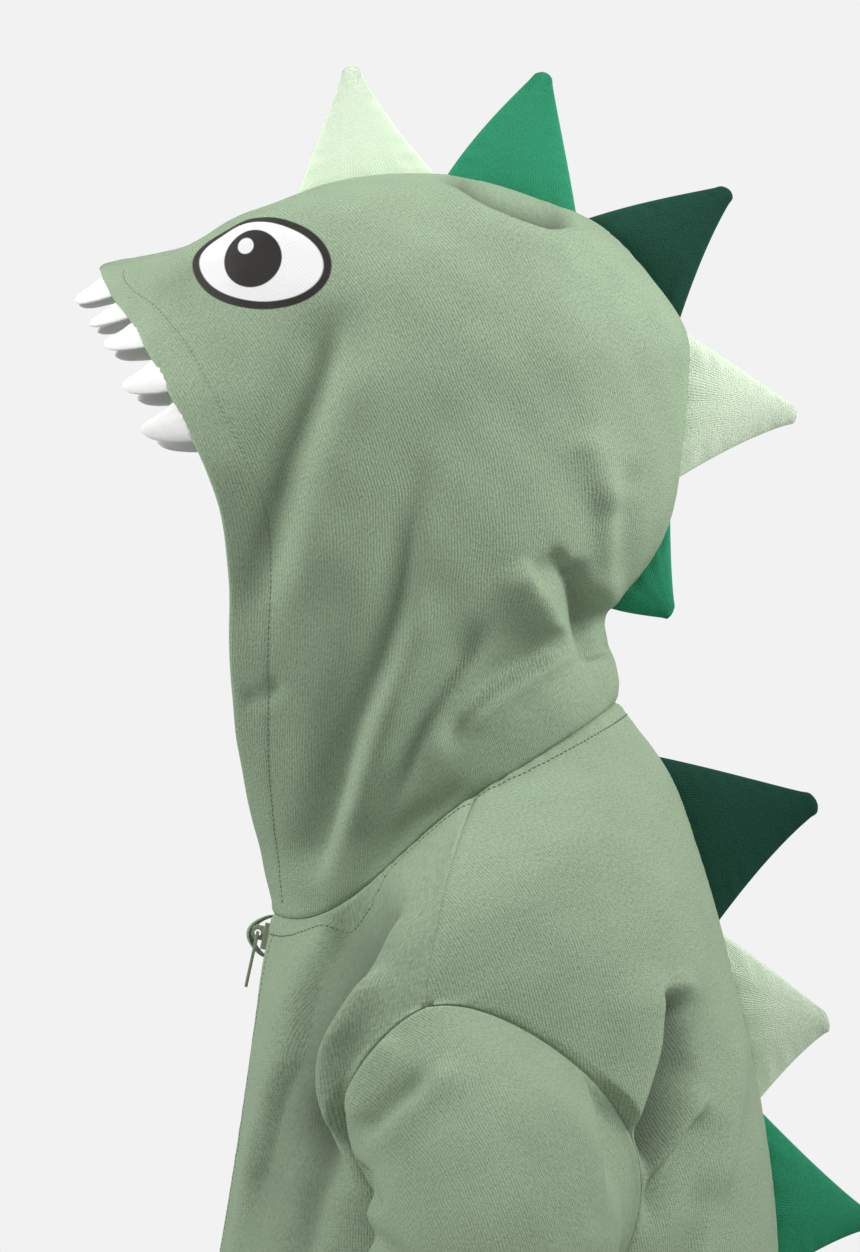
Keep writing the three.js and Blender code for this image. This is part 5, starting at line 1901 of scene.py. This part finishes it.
@dataclass
class Zip(Part):
    """The zip: two tapes, the coils, the slider and its pull, the box, and the guard at the upper end."""

    tape_near: float = 0.4
    tape_far: float = 14.0
    tape_depth: float = 2.9
    tape_thickness: float = 0.7
    coil_pitch: float = 1.5
    coil_radius: float = 0.62
    coil_reach: float = 3.1
    coil_off: float = 1.1
    coil_sunk: float = 0.3
    coil_rings: tuple[Point, ...] = ((-0.5, 0.55), (-0.4, 0.92), (0.4, 1.0), (0.5, 0.7))
    coil_top: float = -64.5
    coil_bottom: float = -467.0
    guard_near: float = 6.3
    guard_far: float = 15.5
    guard_from: float = 0.946
    guard_to: float = 0.996
    guard_lift: float = 8.5
    guard_foot: float = 1.9
    guard_thickness: float = 2.4
    flat_within: float = math.radians(2)
    sharp_from: float = math.radians(25)
    tape_cut: tuple[float, float, float] = (0.0138, 0.45, 0.0061)
    guard_cut: tuple[float, float, float] = (0.0105, 0.028, 0.00027)

    def build(self) -> None:
        """Makes every piece of the zip."""
        for side in Side:
            self.build_tape(side)
        self.build_coil()
        self.build_guard()
        self.build_hard_piece("zip_slider", "garment", 0.45)
        self.build_hard_piece("zip_box", "garment", 0.5)
        self.build_hard_piece("zip_pull", "pull", 0.3)

    def build_tape(self, side: Side) -> None:
        """Makes one tape behind the front's edge."""
        at = np.linspace(HEM_BOTTOM + 0.004, NECK_SEAM - 0.006, 160)
        widths = np.linspace(self.tape_near, self.tape_far, 9)
        angles = np.stack([self.body.front_angle(width, at) for width in widths], 1)
        tape = Panel(
            name=f"zip_tape_{side.label}_weave",
            surface=self.body,
            a=angles,
            b=row_of_each(at, angles),
            side=side,
            seams={},
            cut=self.tape_cut,
            outer_depth=self.tape_depth,
            thickness=self.tape_thickness,
        )
        tape.build(self.finishes.tape, "zip_tape", f"zip_tape_{side.label}")

    def build_coil(self) -> None:
        """Makes the two rows of interlocked coil turns."""
        places = np.linspace(HEM_BOTTOM, NECK_SEAM, 2001)
        heights = BODY.read(places).front_z
        count = int((self.coil_top - self.coil_bottom) / self.coil_pitch)
        turns = Thread(length=self.coil_reach, radius=self.coil_radius, sides=8, rings=self.coil_rings)
        for number in range(2 * count):
            z = self.coil_bottom + self.coil_pitch * (number + 0.5) / 2
            at = np.array(np.interp(z, heights, places))
            centre = self.body.point(np.array(0.0), at)
            out = self.body.normal(np.array(0.0), at)
            way = np.array([1.0 if number % 2 else -1.0, 0, 0])
            turns.stitch(centre + way * self.coil_off - out * self.coil_sunk, way, out)
        turns.build("zip_coil_turns", self.finishes.coil, "zip_coil", "zip_chain")

    def build_guard(self) -> None:
        """Makes the cloth loop at the zip's upper end, on the right front."""
        shares = np.linspace(0, 1, 40)
        at = mix(self.guard_from, self.guard_to, shares)
        widths = np.linspace(self.guard_near, self.guard_far, 12)
        angles = np.stack([self.body.front_angle(width, at) for width in widths], 1)
        loop = self.guard_lift * np.sin(np.pi * shares) ** 0.8 + self.guard_foot
        guard = Panel(
            name="zip_guard_cloth",
            surface=self.body,
            a=angles,
            b=row_of_each(at, angles),
            side=Side.RIGHT,
            seams={Edge.FRONT: Seam(turned=True), Edge.REAR: Seam(turned=True)},
            cut=self.guard_cut,
            extra=lambda across, along: (np.broadcast_to(loop[:, None], across.shape), np.zeros_like(across)),
            thickness=self.guard_thickness,
        )
        guard.build(self.finishes.knit, "sweatshirt_knit", "zip_guard")

    def build_hard_piece(self, node: str, body: str, bevel: float) -> None:
        """Makes an enamelled copy of a CAD node with its edges rounded.

        Args:
            node: The CAD node.
            body: The body that it rides on.
            bevel: The width of the rounding in millimetres.
        """
        source = next(item for item in bpy.context.scene.objects if item.get("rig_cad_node") == node)
        mesh = source.data.copy()
        shape = bmesh.new()
        shape.from_mesh(mesh)
        bmesh.ops.remove_doubles(shape, verts=shape.verts, dist=1e-6)
        bmesh.ops.dissolve_limit(shape, angle_limit=self.flat_within, verts=shape.verts, edges=shape.edges)
        joins = [edge for edge in shape.edges if edge.is_manifold]
        sharp = [edge for edge in joins if edge.calc_face_angle(0) > self.sharp_from]
        rounding = {"offset": bevel * MM, "segments": 3, "profile": 0.5}
        bmesh.ops.bevel(shape, geom=sharp, affect="EDGES", clamp_overlap=True, **rounding)
        for face in shape.faces:
            face.smooth = True
        shape.to_mesh(mesh)
        shape.free()
        mesh.materials.clear()
        mesh.materials.append(self.finishes.enamel)
        settle(in_scene(f"{node}_enamel", mesh), body, "zip_metal", node)


@dataclass
class Studio:
    """A plain pale studio: a small floor, soft lights and a camera square on to the garment's left."""

    camera_at: tuple[float, float, float] = (3.0, -0.0129, 0.0748)
    lens: float = 200.6
    backdrop: float = 0.888
    glow: Point = (0.31, 0.38)
    floor_z: float = -0.5
    floor_radius: float = 1.3

    def build(self) -> None:
        """Makes the camera, the floor, the world and the lights."""
        scene = bpy.context.scene
        camera = in_scene("camera", bpy.data.cameras.new("camera"))
        camera.location = self.camera_at
        camera.rotation_euler = (math.pi / 2, 0, math.pi / 2)
        camera.data.lens = self.lens
        scene.camera = camera
        scene.view_settings.view_transform = "Standard"
        self.build_floor()
        self.build_world()
        self.build_light("back key", (0.33, 0.85, 0.78), 0.5, 14.5, (0, 0.02, 0.62))
        self.build_light("front key", (0.33, -0.95, 0.68), 0.45, 11.8, (0, 0, 0.55))
        self.build_light("right fill", (-1.8, 0, 0.3), 1.2, 12, (0, 0, 0))

    def build_floor(self) -> None:
        """Makes a round pale floor under the garment."""
        mesh = bpy.data.meshes.new("floor")
        shape = bmesh.new()
        bmesh.ops.create_circle(shape, cap_ends=True, segments=96, radius=self.floor_radius)
        shape.to_mesh(mesh)
        shape.free()
        floor = in_scene("floor", mesh)
        floor.location = (0, 0, self.floor_z)
        mesh.materials.append(Moulded("pale floor", (0.72, 0.72, 0.72), 0.8, grain=60.0).build())

    def build_world(self) -> None:
        """Sets a pale backdrop that lights the garment less than it shows, and more from above than below."""
        world = bpy.data.worlds.new("studio")
        nodes = Nodes(world)
        _, _, rise = nodes.parts(nodes.node("ShaderNodeTexCoord", {}, {}, "Generated"))
        steps = {"Value": rise, "From Min": -1, "From Max": 1, "To Min": self.glow[0], "To Max": self.glow[1]}
        strength = nodes.node("ShaderNodeMapRange", {}, steps, "Result")
        glow = nodes.node("ShaderNodeBackground", {}, {"Color": (1, 1, 1, 1), "Strength": strength})
        backdrop = nodes.tree.nodes["Background"]
        nodes.feed(backdrop, {"Color": (*[self.backdrop] * 3, 1)})
        seen = Signal(nodes, backdrop.outputs[0])
        direct = nodes.node("ShaderNodeLightPath", {}, {}, "Is Camera Ray")
        both = nodes.node("ShaderNodeMixShader", {}, {0: direct, 1: glow, 2: seen})
        nodes.feed(nodes.tree.nodes["World Output"], {"Surface": both})
        bpy.context.scene.world = world

    def build_light(
        self,
        name: str,
        place: tuple[float, float, float],
        size: float,
        power: float,
        target: tuple[float, float, float],
    ) -> None:
        """Adds a soft area light.

        Args:
            name: The light's name.
            place: Where it stands, in metres.
            size: The side of its square, in metres.
            power: Its power in watts.
            target: What it faces.
        """
        data = bpy.data.lights.new(name, "AREA")
        data.size = size
        data.energy = power
        light = in_scene(name, data)
        light.location = place
        light.visible_camera = False
        light.rotation_euler = (Vector(target) - Vector(place)).to_track_quat("-Z", "Y").to_euler()


def main() -> None:
    """Builds the dressed garment around the CAD frame."""
    logging.basicConfig(level=logging.INFO, format="%(message)s")
    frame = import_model()
    LOG.info("%d CAD nodes", len(frame["nodes"]))
    Studio().build()
    finishes = Finishes()
    body = BodySurface()
    hood_thread, thread = Thread(), Thread()
    Hood(body, finishes).build(hood_thread)
    Body(body, finishes).build(thread)
    for part in (Sleeves, HemBand, Spikes, Teeth, Zip):
        part(body, finishes).build()
    hood_thread.build("hood_stitches", finishes.hood_thread, "sweatshirt_knit")
    thread.build("stitches", finishes.thread, "sweatshirt_knit")


if __name__ == "__main__":
    main()
